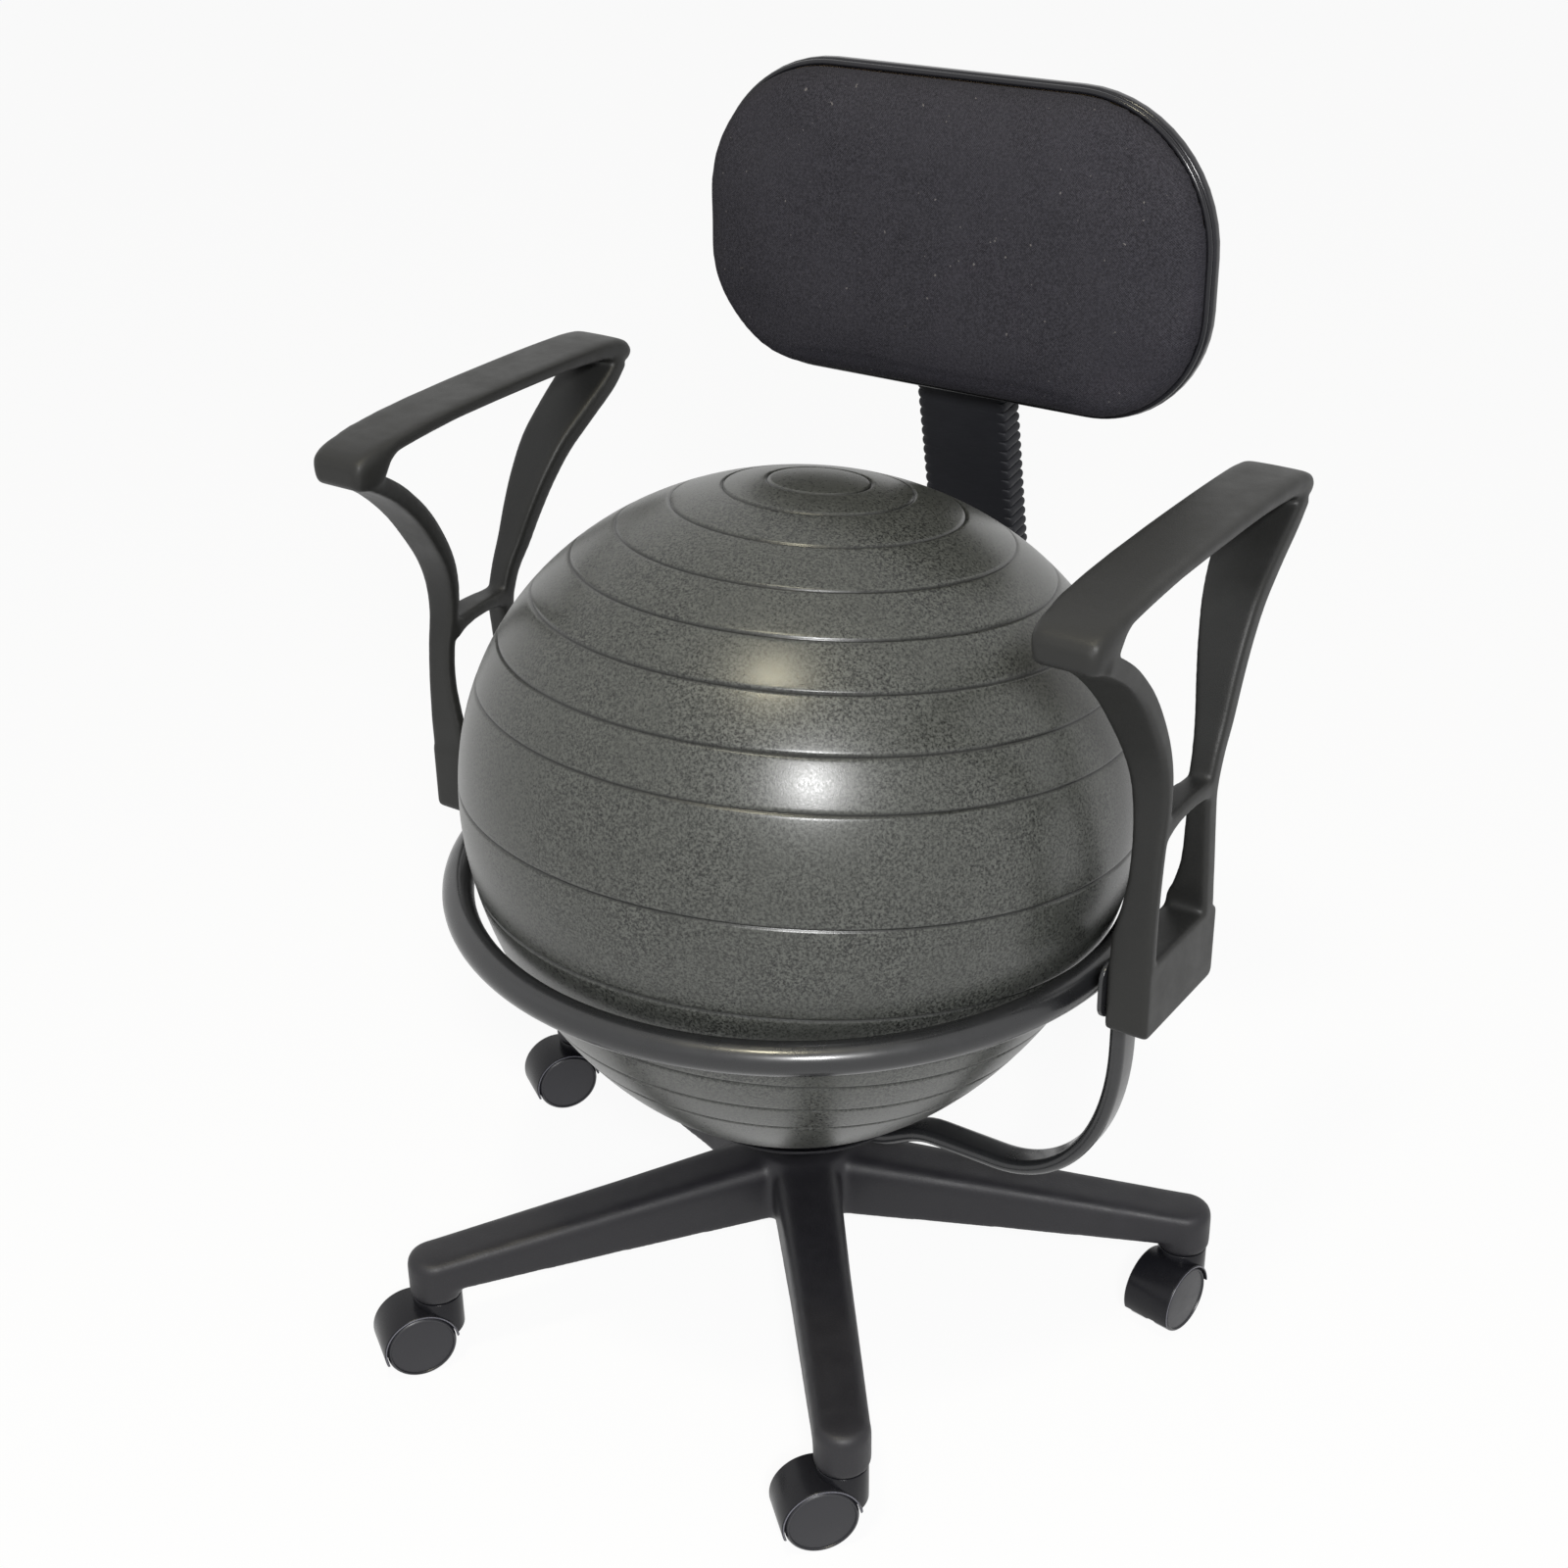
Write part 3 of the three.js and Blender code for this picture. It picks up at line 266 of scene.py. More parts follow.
def skin(rings):
    """A closed skin carried through rings of equal count by extruding one face."""
    bm = bmesh.new()
    face = bm.faces.new([bm.verts.new(point) for point in rings[0]])
    order = list(face.verts)
    for number, ring in enumerate(rings[1:]):
        out = bmesh.ops.extrude_face_region(bm, geom=[face])["geom"]
        if number:
            bmesh.ops.delete(bm, geom=[face], context="FACES_ONLY")
        face = next(item for item in out if isinstance(item, bmesh.types.BMFace))
        new = set(face.verts)
        order = [next(e.other_vert(v) for e in v.link_edges if e.other_vert(v) in new) for v in order]
        for point, place in zip(order, ring):
            point.co = place
    return closed(bm)


def swept(section_at, path, side):
    """A section of (along side, across) points carried along a flat path."""
    rings = []
    for i, point in enumerate(path):
        along = (path[min(i + 1, len(path) - 1)] - path[max(i - 1, 0)]).normalized()
        across = side.cross(along)
        rings.append([point + side * u + across * v for u, v in section_at(i / (len(path) - 1))])
    return skin(rings)


def rounded_outline(half_width, half_height, radii, steps):
    """A rectangle whose corners, from the upper right one round, have the given radii."""
    points = []
    for corner, radius in enumerate(radii):
        u = (half_width - radius) * (1 if corner in (0, 3) else -1)
        v = (half_height - radius) * (1 if corner < 2 else -1)
        turns = [(corner + i / steps) * QUARTER for i in range(steps + 1)]
        points += [(u + radius * math.cos(turn), v + radius * math.sin(turn)) for turn in turns]
    return points


def rounded_rectangle(half_width, half_height, radius, steps):
    return rounded_outline(half_width, half_height, [radius] * 4, steps)


def block(low, high):
    bm = bmesh.new()
    bmesh.ops.create_cube(bm, size=1)
    low, high = Vector(low), Vector(high)
    bmesh.ops.scale(bm, vec=high - low, verts=bm.verts)
    return placed(bm, Matrix.Translation((low + high) / 2))


def bevel(bm, edges, width, segments):
    bmesh.ops.bevel(
        bm, geom=edges, offset=width, offset_type="OFFSET", affect="EDGES", segments=segments,
        profile=0.5, material=-1, clamp_overlap=True)


def plate(outline, depth, rim, segments):
    """An outline in the XY plane given a depth along Z and rounded rims."""
    bm = bmesh.new()
    face = bm.faces.new([bm.verts.new((u, v, 0)) for u, v in outline])
    out = bmesh.ops.extrude_face_region(bm, geom=[face])["geom"]
    raised = [item for item in out if isinstance(item, bmesh.types.BMVert)]
    bmesh.ops.translate(bm, vec=(0, 0, depth), verts=raised)
    bmesh.ops.recalc_face_normals(bm, faces=bm.faces)
    rims = [edge for edge in bm.edges if abs(edge.verts[0].co.z - edge.verts[1].co.z) < MERGE]
    bevel(bm, rims, rim, segments)
    return bm


def placed(bm, *moves):
    """The same mesh after each matrix in turn."""
    for move in moves:
        bmesh.ops.transform(bm, matrix=move, verts=bm.verts)
    return bm


def moved(x=0.0, y=0.0, z=0.0):
    return Matrix.Translation((x, y, z))


def rotated(radians, axis):
    return Matrix.Rotation(radians, 4, axis)


def mirrored(bm):
    """The mesh turned into its twin on the other side of the YZ plane."""
    bmesh.ops.scale(bm, vec=(-1, 1, 1), verts=bm.verts)
    bmesh.ops.reverse_faces(bm, faces=bm.faces)
    return bm


def blend(low, high, share):
    return low + (high - low) * share


def joined(*parts):
    """Several meshes in one, each still a closed skin of its own."""
    whole = bmesh.new()
    for part in parts:
        mesh = bpy.data.meshes.new("part")
        part.to_mesh(mesh)
        part.free()
        whole.from_mesh(mesh)
        bpy.data.meshes.remove(mesh)
    return whole


def shown(name, bm):
    """An object of the scene that holds the mesh, which is freed."""
    mesh = bpy.data.meshes.new(name)
    bm.to_mesh(mesh)
    bm.free()
    obj = bpy.data.objects.new(name, mesh)
    bpy.context.scene.collection.objects.link(obj)
    return obj


def discard(obj):
    mesh = obj.data
    bpy.data.objects.remove(obj)
    bpy.data.meshes.remove(mesh)


def applied(obj):
    """The object's mesh with its modifiers applied. The object goes."""
    graph = bpy.context.evaluated_depsgraph_get()
    mesh = bpy.data.meshes.new_from_object(obj.evaluated_get(graph))
    bm = bmesh.new()
    bm.from_mesh(mesh)
    bpy.data.meshes.remove(mesh)
    discard(obj)
    return bm


def combined(bm, tools, operation="DIFFERENCE"):
    """A boolean of one body with each tool in turn."""
    body = shown("body", bm)
    others = [shown("tool", tool) for tool in tools]
    for other in others:
        step = body.modifiers.new("boolean", "BOOLEAN")
        step.operation = operation
        step.solver = "EXACT"
        step.object = other
    result = applied(body)
    for other in others:
        discard(other)
    bmesh.ops.dissolve_degenerate(result, dist=MERGE, edges=result.edges)
    return result


def remeshed(bm, cell):
    """One skin of even cells round overlapping closed bodies."""
    obj = shown("remeshed", bm)
    remesh = obj.modifiers.new("remesh", "REMESH")
    remesh.mode = "VOXEL"
    remesh.voxel_size = cell
    return applied(obj)


def fused(bm, cell, smooth_passes, fillet_passes):
    """Overlapping closed bodies made one skin, with soft edges and filled inner corners."""
    whole = shown("fused", remeshed(bm, cell))
    relax(whole.data, smooth_passes, only_hollows=False)
    relax(whole.data, fillet_passes, only_hollows=True)
    relax(whole.data, smooth_passes // 2, only_hollows=False)
    return applied(whole)


def relax(mesh, passes, only_hollows):
    """Moves each point towards its neighbours; with only_hollows, only where that fills an inner corner."""
    total = len(mesh.vertices)
    pairs = np.empty(len(mesh.edges) * 2, dtype=np.int32)
    mesh.edges.foreach_get("vertices", pairs)
    pairs = pairs.reshape(-1, 2)
    valence = np.bincount(pairs.ravel(), minlength=total)[:, None]
    places = np.empty(total * 3)
    mesh.vertices.foreach_get("co", places)
    places = places.reshape(-1, 3)
    normals = np.empty(total * 3)
    for _ in range(passes):
        sums = np.stack([
            np.bincount(pairs[:, 0], places[pairs[:, 1], k], total)
            + np.bincount(pairs[:, 1], places[pairs[:, 0], k], total)
            for k in range(3)
        ], axis=1)
        pull = (sums / valence - places) * 0.5
        if only_hollows:
            mesh.vertex_normals.foreach_get("vector", normals)
            pull[np.einsum("ij,ij->i", pull, normals.reshape(-1, 3)) <= 0] = 0
        places += pull
        mesh.vertices.foreach_set("co", places.ravel())
        mesh.update()


def bores(radius, start, end, facing, places, steps=28):
    """Tools for equal round holes, turned from Z by a matrix and moved to their places."""
    return [placed(rod(radius, start, end, steps), facing, moved(*place)) for place in places]


def new_piece(name, bm, material, replaces=None, body="chair_frame", sharp=35.0, offset=HUB):
    """Puts a finished mesh in the scene as a piece that rides on a body."""
    bmesh.ops.translate(bm, vec=offset, verts=bm.verts)
    obj = shown(name, bm)
    obj.data.shade_smooth()
    obj.data.set_sharp_from_angle(angle=math.radians(sharp))
    obj.data.materials.append(bpy.data.materials[material])
    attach(obj, body)
    if replaces:
        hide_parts(replaces)
    return obj


# Materials

# Numbers of a mix node's colour sockets, whose names it uses more than once
MIX_COLOURS = (6, 7)
MIX_RESULT = 2
GRAIN_DEPTH = 0.0003
COAT_ROUGHNESS = 0.12
YARN_PITCH = 0.0016


class Shader:
    """A material, world or node group under construction."""

    def __init__(self, tree):
        self.tree = tree

    def add(self, kind, levels=(), **values):
        """A node with its attributes, and a dictionary of levels for its inputs."""
        node = self.tree.nodes.new(kind)
        for name, value in values.items():
            setattr(node, name, value)
        set_levels(node, levels)
        return node

    def link(self, source, target):
        self.tree.links.new(source, target)

    def place(self):
        return self.add("ShaderNodeTexCoord").outputs["Object"]

    def ramp(self, source, first, last):
        """A ramp between two stops, each a (position, grey or colour)."""
        node = self.add("ShaderNodeValToRGB")
        for element, (position, tone) in zip(node.color_ramp.elements, (first, last)):
            element.position = position
            element.color = (tone, tone, tone, 1) if isinstance(tone, (int, float)) else (*tone, 1)
        self.link(source, node.inputs["Fac"])
        return node.outputs["Color"]

    def noise(self, vector, scale, detail=2.0, roughness=0.5):
        node = self.add("ShaderNodeTexNoise", {"Scale": scale, "Detail": detail, "Roughness": roughness})
        self.link(vector, node.inputs["Vector"])
        return node.outputs["Fac"]

    def value(self, operation, *items):
        """A math node on sockets or numbers."""
        node = self.add("ShaderNodeMath", operation=operation)
        for socket, item in zip(node.inputs, items):
            if isinstance(item, (int, float)):
                socket.default_value = item
            else:
                self.link(item, socket)
        return node.outputs["Value"]

    def sum(self, first, first_share, second, second_share):
        shares = self.value("MULTIPLY", first, first_share), self.value("MULTIPLY", second, second_share)
        return self.value("ADD", *shares)

    def mix(self, factor, first, second):
        """A blend of two colours, each a socket or a tint."""
        node = self.add("ShaderNodeMix", data_type="RGBA")
        sockets = node.inputs["Factor"], *(node.inputs[number] for number in MIX_COLOURS)
        for socket, item in zip(sockets, (factor, first, second)):
            if hasattr(item, "is_linked"):
                self.link(item, socket)
            else:
                socket.default_value = item if isinstance(item, float) else (*item, 1)
        return node.outputs[MIX_RESULT]

    def mix_shaders(self, factor, first, second):
        node = self.add("ShaderNodeMixShader")
        for socket, item in zip(node.inputs, (factor, first, second)):
            if isinstance(item, float):
                socket.default_value = item
            else:
                self.link(item, socket)
        return node.outputs["Shader"]

    def surface(self, color, roughness, height, strength, distance, levels=()):
        """Feeds the Principled surface, with a bump of the given strength and distance."""
        surface = self.tree.nodes["Principled BSDF"]
        bump = self.add("ShaderNodeBump", {"Strength": strength, "Distance": distance})
        self.link(color, surface.inputs["Base Color"])
        if isinstance(roughness, float):
            surface.inputs["Roughness"].default_value = roughness
        else:
            self.link(roughness, surface.inputs["Roughness"])
        self.link(height, bump.inputs["Height"])
        self.link(bump.outputs["Normal"], surface.inputs["Normal"])
        set_levels(surface, levels)


def set_levels(node, levels):
    for name, level in dict(levels).items():
        node.inputs[name].default_value = level


def new_material(name):
    material = bpy.data.materials.new(name)
    material.use_nodes = True
    return Shader(material.node_tree)


def moulded_group():
    """Fine moulded grain with faint wiping marks, for every plastic and painted piece."""
    tree = bpy.data.node_groups.new("moulded_surface", "ShaderNodeTree")
    for side, kind, labels in (
        ("INPUT", "NodeSocketColor", ("Base", "Light")),
        ("INPUT", "NodeSocketFloat", ("Grain scale", "Low", "High")),
        ("OUTPUT", "NodeSocketColor", ("Color",)),
        ("OUTPUT", "NodeSocketFloat", ("Roughness", "Height")),
    ):
        for label in labels:
            tree.interface.new_socket(label, in_out=side, socket_type=kind)
    inside = Shader(tree)
    entry, leave = inside.add("NodeGroupInput").outputs, inside.add("NodeGroupOutput").inputs
    place = inside.place()
    grain = inside.add("ShaderNodeTexNoise", {"Detail": 3})
    inside.link(place, grain.inputs["Vector"])
    inside.link(entry["Grain scale"], grain.inputs["Scale"])
    patches = inside.noise(place, 9, 4, 0.6)
    smears = inside.noise(place, 55, 5, 0.65)
    worn = inside.value(
        "MULTIPLY", inside.ramp(patches, (0.45, 0), (0.75, 1)), inside.ramp(smears, (0.45, 0), (0.7, 1)))
    specks = inside.ramp(grain.outputs["Fac"], (0.62, 0), (0.74, 1))
    shade = inside.sum(worn, 0.28, specks, 0.3)
    inside.link(inside.mix(shade, entry["Base"], entry["Light"]), leave["Color"])
    spread = inside.add("ShaderNodeMapRange", {"From Min": 0.3, "From Max": 0.7})
    inside.link(smears, spread.inputs["Value"])
    inside.link(entry["Low"], spread.inputs["To Min"])
    inside.link(entry["High"], spread.inputs["To Max"])
    inside.link(spread.outputs["Result"], leave["Roughness"])
    inside.link(grain.outputs["Fac"], leave["Height"])
    return tree


def lighter(tint, times):
    return tuple(min(1.0, tone * times) for tone in tint)


def moulded(group, name, tint, shades, grain_scale, roughness, bump, gloss, coat):
    """A material on the shared moulded surface, between two shades of its tint."""
    shader = new_material(name)
    base, light = (lighter(tint, shade) for shade in shades)
    levels = {"Base": (*base, 1), "Light": (*light, 1), "Grain scale": grain_scale}
    levels |= {"Low": roughness[0], "High": roughness[1]}
    gloss_levels = {"Specular IOR Level": gloss, "Coat Weight": coat, "Coat Roughness": COAT_ROUGHNESS}
    grain = shader.add("ShaderNodeGroup", node_tree=group)
    set_levels(grain, levels)
    shader.surface(
        grain.outputs["Color"], grain.outputs["Roughness"], grain.outputs["Height"], bump, GRAIN_DEPTH,
        gloss_levels)


def vinyl_material(tint):
    """Speckled inflated vinyl, with painted shade that darkens it inside its grooves."""
    shader = new_material("speckled_vinyl")
    place = shader.place()
    speckle = shader.noise(place, 560, 2, 0.8)
    cloud = shader.noise(place, 14, 3, 0.55)
    fine = shader.noise(place, 1500, 2, 0.5)
    color = shader.mix(shader.ramp(speckle, (0.42, 0), (0.60, 1)), lighter(tint, 0.3), lighter(tint, 2.1))
    color = shader.mix(shader.ramp(cloud, (0.35, 0), (0.7, 0.6)), color, lighter(tint, 1.25))
    # Painted shade: the colour darkens towards the bottom of each groove
    groove = shader.add("ShaderNodeAttribute", attribute_name="groove", attribute_type="GEOMETRY")
    color = shader.mix(groove.outputs["Fac"], color, lighter(tint, 0.2))
    roughness = shader.ramp(speckle, (0.3, 0.26), (0.7, 0.38))
    shader.surface(color, roughness, shader.sum(speckle, 0.6, fine, 0.4), 0.22, 0.0004)


def fabric_material(yarn, fleck):
    """Woven upholstery cloth: crossing yarns, a soft nap and a few lighter threads."""
    shader = new_material("woven_fabric")
    place = shader.place()
    apart = shader.add("ShaderNodeSeparateXYZ")
    shader.link(place, apart.inputs["Vector"])
    pitch = math.tau / YARN_PITCH
    warp, weft = (shader.value("SINE", shader.value("MULTIPLY", apart.outputs[axis], pitch)) for axis in "XZ")
    weave = shader.value("ADD", shader.value("MULTIPLY", shader.value("MULTIPLY", warp, weft), 0.5), 0.5)
    nap = shader.noise(place, 900, 3, 0.6)
    cloud = shader.noise(place, 22, 3, 0.5)
    flecks = shader.noise(place, 260, 1, 0.5)
    color = shader.mix(weave, lighter(yarn, 0.55), lighter(yarn, 1.5))
    threads = shader.ramp(shader.noise(place, 620, 3, 0.75), (0.38, 0), (0.64, 1))
    dark, pale = shader.mix(0.5, color, lighter(yarn, 0.25)), shader.mix(0.4, color, lighter(yarn, 2.0))
    color = shader.mix(threads, dark, pale)
    color = shader.mix(shader.ramp(cloud, (0.35, 0), (0.7, 0.4)), color, lighter(yarn, 1.3))
    color = shader.mix(shader.ramp(flecks, (0.76, 0), (0.80, 0.7)), color, fleck)
    height = shader.value("ADD", weave, shader.value("MULTIPLY", nap, 0.7))
    shader.surface(color, 1.0, height, 0.5, 0.0005, {"Specular IOR Level": 0.08})


def zinc_material():
    """Zinc plate with a faint turned grain."""
    shader = new_material("zinc_plate")
    place = shader.place()
    blotch = shader.noise(place, 160, 4, 0.6)
    tone = shader.ramp(blotch, (0.3, (0.42, 0.43, 0.45)), (0.7, (0.62, 0.63, 0.64)))
    roughness = shader.ramp(blotch, (0.3, 0.28), (0.7, 0.42))
    shader.surface(tone, roughness, shader.noise(place, 1400), 0.1, 0.0002, {"Metallic": 1.0})


def plywood_material():
    """Raw plywood: long grain on the faces."""
    shader = new_material("raw_plywood")
    stretch = shader.add("ShaderNodeMapping", {"Scale": (6, 90, 90)})
    shader.link(shader.place(), stretch.inputs["Vector"])
    grain = shader.noise(stretch.outputs["Vector"], 3, 5, 0.6)
    tone = shader.ramp(grain, (0.3, (0.36, 0.24, 0.13)), (0.7, (0.60, 0.45, 0.27)))
    shader.surface(tone, 0.82, grain, 0.2, 0.0004)


# Each finish: the settings that tint it, two shades of that tint, the scale of its grain, its lowest and
# highest roughness, the strength of its bump, its gloss and its clear coat
MOULDED_FINISHES = {
    "powder_coat": ("frame", (1, 2.2), 1400, (0.24, 0.34), 0.05, 0.5, 0.25),
    "arm_nylon": ("arm", (1, 1.9), 1100, (0.42, 0.52), 0.4, 0.3, 0),
    "base_nylon": ("base", (1, 2.6), 800, (0.44, 0.56), 0.4, 0.4, 0),
    "caster_plastic": ("caster", (0.8, 1.8), 1200, (0.24, 0.34), 0.05, 0.2, 0),
    "wheel_plastic": ("caster", (1.3, 3.2), 1200, (0.30, 0.44), 0.08, 0.45, 0),
    # The rim beads' light shades are a painted highlight along each hood's edge
    "worn_edge": ("caster", (9, 14), 1200, (0.24, 0.34), 0.12, 0.5, 0),
    "gloss_shell": ("caster", (1, 1.6), 1500, (0.16, 0.24), 0.03, 0.3, 0),
    "soft_boot": ("bar", (1, 2.0), 700, (0.50, 0.62), 0.1, 0.2, 0),
}


def make_materials():
    """All finishes of the chair, made once and found by name afterwards."""
    s = bpy.context.scene.ball_chair
    vinyl_material(s.ball.tint)
    fabric_material(s.back.cloth_tint, s.back.fleck_tint)
    zinc_material()
    plywood_material()
    group = moulded_group()
    for name, (tinted_by, *look) in MOULDED_FINISHES.items():
        moulded(group, name, getattr(s, tinted_by).tint, *look)


# Ball

GROOVE_DEGREES = (8.7, 16.1, 25.1, 34.9, 43.8, 52.5, 61.7, 70.1, 87.4, 104, 116.1, 121.2, 129, 136.5)
GROOVE_RING_SHARES = (-2, -1.2, -0.8, -0.4, 0, 0.4, 0.8, 1.2, 2)
GROOVE_FALL = 1.6
GROOVE_CLEARANCE = 2.2
EVEN_RINGS = 121
BALL_SHAPE = (0.0069, -0.0444, 0.0103)
VALVE_TURN = math.radians(78)
PLUG_PROFILE = (
    (0, -0.012), (0.0036, -0.012), (0.0037, 0.0003), (0.008, 0.0003), (0.0079, 0.0008), (0.0070, 0.0017),
    (0.0052, 0.0019), (0.0045, 0.0013), (0, 0.0012),
)


def skin_radius(turn, radius):
    """Distance from the ball's middle to its skin at an angle from its upper pole."""
    c = math.cos(turn)
    bulges = ((3 * c * c - 1) / 2, (5 * c**3 - 3 * c) / 2, (35 * c**4 - 30 * c * c + 3) / 8)
    return radius * (1 + sum(share * bulge for share, bulge in zip(BALL_SHAPE, bulges)))


def groove_half(s):
    return s.groove_width / 2 / s.radius


def groove_share(turn, s):
    """How deep in a groove an angle lies, from 0 on the open skin to 1 at the bottom."""
    nearest = min(abs(turn - math.radians(groove)) for groove in GROOVE_DEGREES)
    half = groove_half(s)
    return math.exp(-((nearest / half * GROOVE_FALL) ** 2)) if nearest < 2 * half else 0.0


def ball_turns(s):
    """Angles of the ball's profile: even steps, with finer ones across each groove."""
    half = groove_half(s)
    turns = set(np.linspace(0, math.pi, EVEN_RINGS))
    for groove in GROOVE_DEGREES:
        centre = math.radians(groove)
        turns -= {turn for turn in turns if abs(turn - centre) < GROOVE_CLEARANCE * half}
        turns |= {centre + half * share for share in GROOVE_RING_SHARES}
    return sorted(turns)


class CHAIR_OT_ball(bpy.types.Operator):
    """Inflated ball with moulded grooves, and the domed plug in its valve"""

    bl_idname = "ball_chair.ball"
    bl_label = "Ball"

    def execute(self, context):
        s = context.scene.ball_chair.ball
        profile = []
        for turn in ball_turns(s):
            reach = skin_radius(turn, s.radius) - s.groove_depth * groove_share(turn, s)
            at_pole = turn < MERGE or turn > math.pi - MERGE
            profile.append((0 if at_pole else reach * math.sin(turn), reach * math.cos(turn)))
        bm = turned(profile, s.segments)
        # The groove attribute sets how deep the painted shade in the grooves is
        depth = bm.verts.layers.float.new("groove")
        for point in bm.verts:
            point[depth] = groove_share(point.co.angle(UP), s)
        place = moved(s.centre_x, 0, s.centre_z) @ rotated(-s.lean, "X")
        new_piece("exercise_ball", placed(bm, place), "speckled_vinyl", "ball", "exercise_ball")
        reach = skin_radius(VALVE_TURN, s.radius)
        seat = moved(0, reach * math.sin(VALVE_TURN), reach * math.cos(VALVE_TURN))
        plug = placed(turned(PLUG_PROFILE, 40), rotated(-VALVE_TURN, "X"), seat, place)
        new_piece("valve_plug", plug, "base_nylon", "ball_plug", "exercise_ball")
        return {"FINISHED"}


# Steel frame

STRUT_HUB_Z = 0.1396
STRUT_LEVEL_Z = 0.158
STRUT_RISE_Z = 0.285
STRUT_TOP_Z = {"left": 0.374, "right": 0.374, "rear": 0.382}
STRUT_TURNS = {"right": 0, "rear": QUARTER, "left": math.pi}
DIP_REACH = (0.060, 0.086, 0.092, 0.118)
BEND_REACH = (0.165, 0.215)
BEND_PULL = 0.080
STRUT_RIM = 0.0008
SHARP_TURN = math.radians(60)
DISC_RADIUS = 0.044
DISC_DEPTH = 0.0115
DISC_RIM = 0.0012
BAR_BOLT_ZS = (0.340, 0.372)
BEAD_SIDES = 10
BEAD_RIPPLES = 9
BEAD_WOBBLE = 0.12
BEAD_END_SHARE = 0.35
HOOP_BEAD_SHARES = (0.66, 0.88)
DISC_BEAD_SHARES = (0.2, 0.4, 0.8)
POST_BORE = (0.0063, 0.042)
POST_FOOT_RADIUS = 0.0139
POST_RADIUS = 0.0147
SHELF_Z = 0.1103
SHELF_RADIUS = 0.0162
SHOULDER_RADIUS = 0.017
NECK_PROFILE = ((0.017, 0.0155), (0.0176, 0.0135), (0.0195, 0.012))
DISH_WALL = 0.0015
DISH_FLOOR_RADIUS = 0.030
DISH_STEPS = 14
DISH_LIP_DROP = 0.0004
DISH_ROLL = ((0.0007, 0.0003), (0.0013, -0.0003), (0.0013, -0.0014), (0.0004, -0.0022))
DISH_FOLD = (-0.0006, -0.0023)
HUB_BOLT_HEAD = (0.019, 0.0075)
HUB_BOLT_RADIUS = 0.006
SHANK_SINK = 0.003
SHANK_TIP = 0.0008
HEAD_CHAMFER = (0.96, 0.22)
HEAD_CLEARANCE = 0.001
WASHER_RADII = (0.0066, 0.021)
WASHER_EDGES = (0.0002, 0.0003, 0.0004)


def strut_x(s):
    return s.hoop_radius + s.tube_radius + GAP + s.strut_depth / 2


def strut_path(s, top_z):
    """Out from the hub's disc, up to a level run, and round to an upright."""
    def at(reach, z):
        return Vector((reach, 0, z))
    levels = (STRUT_HUB_Z, STRUT_HUB_Z, STRUT_LEVEL_Z, STRUT_LEVEL_Z)
    dip = interpolate_bezier(*(at(reach, z) for reach, z in zip(DIP_REACH, levels)), 14)
    bend = interpolate_bezier(
        *(at(reach, STRUT_LEVEL_Z) for reach in BEND_REACH), at(strut_x(s), STRUT_RISE_Z - BEND_PULL),
        at(strut_x(s), STRUT_RISE_Z), 32)
    return [at(DISC_RADIUS + GAP, STRUT_HUB_Z), *dip, *bend, at(strut_x(s), top_z)]


def bead_arc(z, reach, turn, half_turn, bead):
    """A weld bead: a row of overlapping ripples along a level arc."""
    rings = []
    steps = BEAD_RIPPLES * 3
    for i in range(steps + 1):
        share = i / steps
        here = blend(turn - half_turn, turn + half_turn, share)
        end = BEAD_END_SHARE if i in (0, steps) else 1
        ripple = bead * (1 + BEAD_WOBBLE * math.sin(share * BEAD_RIPPLES * math.tau)) * end
        out = Vector((math.cos(here), math.sin(here), 0))
        rings.append([out * (reach + u) + UP * (z + v) for u, v in circle(ripple, BEAD_SIDES)])
    return skin(rings)


class CHAIR_OT_struts(bpy.types.Operator):
    """Hoop round the ball and the three flat-oval struts that carry it, with their welds"""

    bl_idname = "ball_chair.struts"
    bl_label = "Hoop and Struts"

    def execute(self, context):
        s = context.scene.ball_chair.frame
        bm = bmesh.new()
        bmesh.ops.create_circle(bm, segments=28, radius=s.tube_radius)
        placed(bm, TO_FRONT, moved(s.hoop_radius, 0, s.hoop_z))
        new_piece("hoop_tube", spun(bm, 168), "powder_coat", "support_hoop")
        for name, top_z in STRUT_TOP_Z.items():
            self.strut(s, name, top_z)
        self.welds(s)
        return {"FINISHED"}

    def strut(self, s, name, top_z):
        half_depth = s.strut_depth / 2
        section = rounded_rectangle(s.strut_width / 2, half_depth, half_depth - MERGE * 10, 7)
        bm = swept(lambda share: section, strut_path(s, top_z), BEHIND)
        ends = [edge for edge in bm.edges if edge.is_manifold and edge.calc_face_angle(0) > SHARP_TURN]
        bevel(bm, ends, STRUT_RIM, 2)
        if name == "rear":
            places = [(strut_x(s), 0, z) for z in BAR_BOLT_ZS]
            bm = combined(bm, bores(BOLT_RADIUS + GAP, -s.strut_width, s.strut_width, TO_X, places, 24))
        placed(bm, rotated(STRUT_TURNS[name], "Z"))
        new_piece(f"strut_bar_{name}", bm, "powder_coat", f"strut_{name}")

    def welds(self, s):
        """Beads above and below each crossing of a strut and the hoop, and round the hub's disc."""
        parts = []
        rise, out = (s.tube_radius * share for share in HOOP_BEAD_SHARES)
        half = s.strut_width / 2 / s.hoop_radius
        half_disc = s.strut_width / 2 / DISC_RADIUS
        lift, out_share, size = DISC_BEAD_SHARES
        disc_z = STRUT_HUB_Z - s.strut_depth / 2 + s.bead * lift
        disc_reach = DISC_RADIUS + s.bead * out_share
        for turn in STRUT_TURNS.values():
            for side in (-1, 1):
                parts.append(bead_arc(s.hoop_z + side * rise, s.hoop_radius + out, turn, half, s.bead))
            parts.append(bead_arc(disc_z, disc_reach, turn, half_disc, s.bead * size))
        new_piece("weld_beads", joined(*parts), "powder_coat", sharp=60)


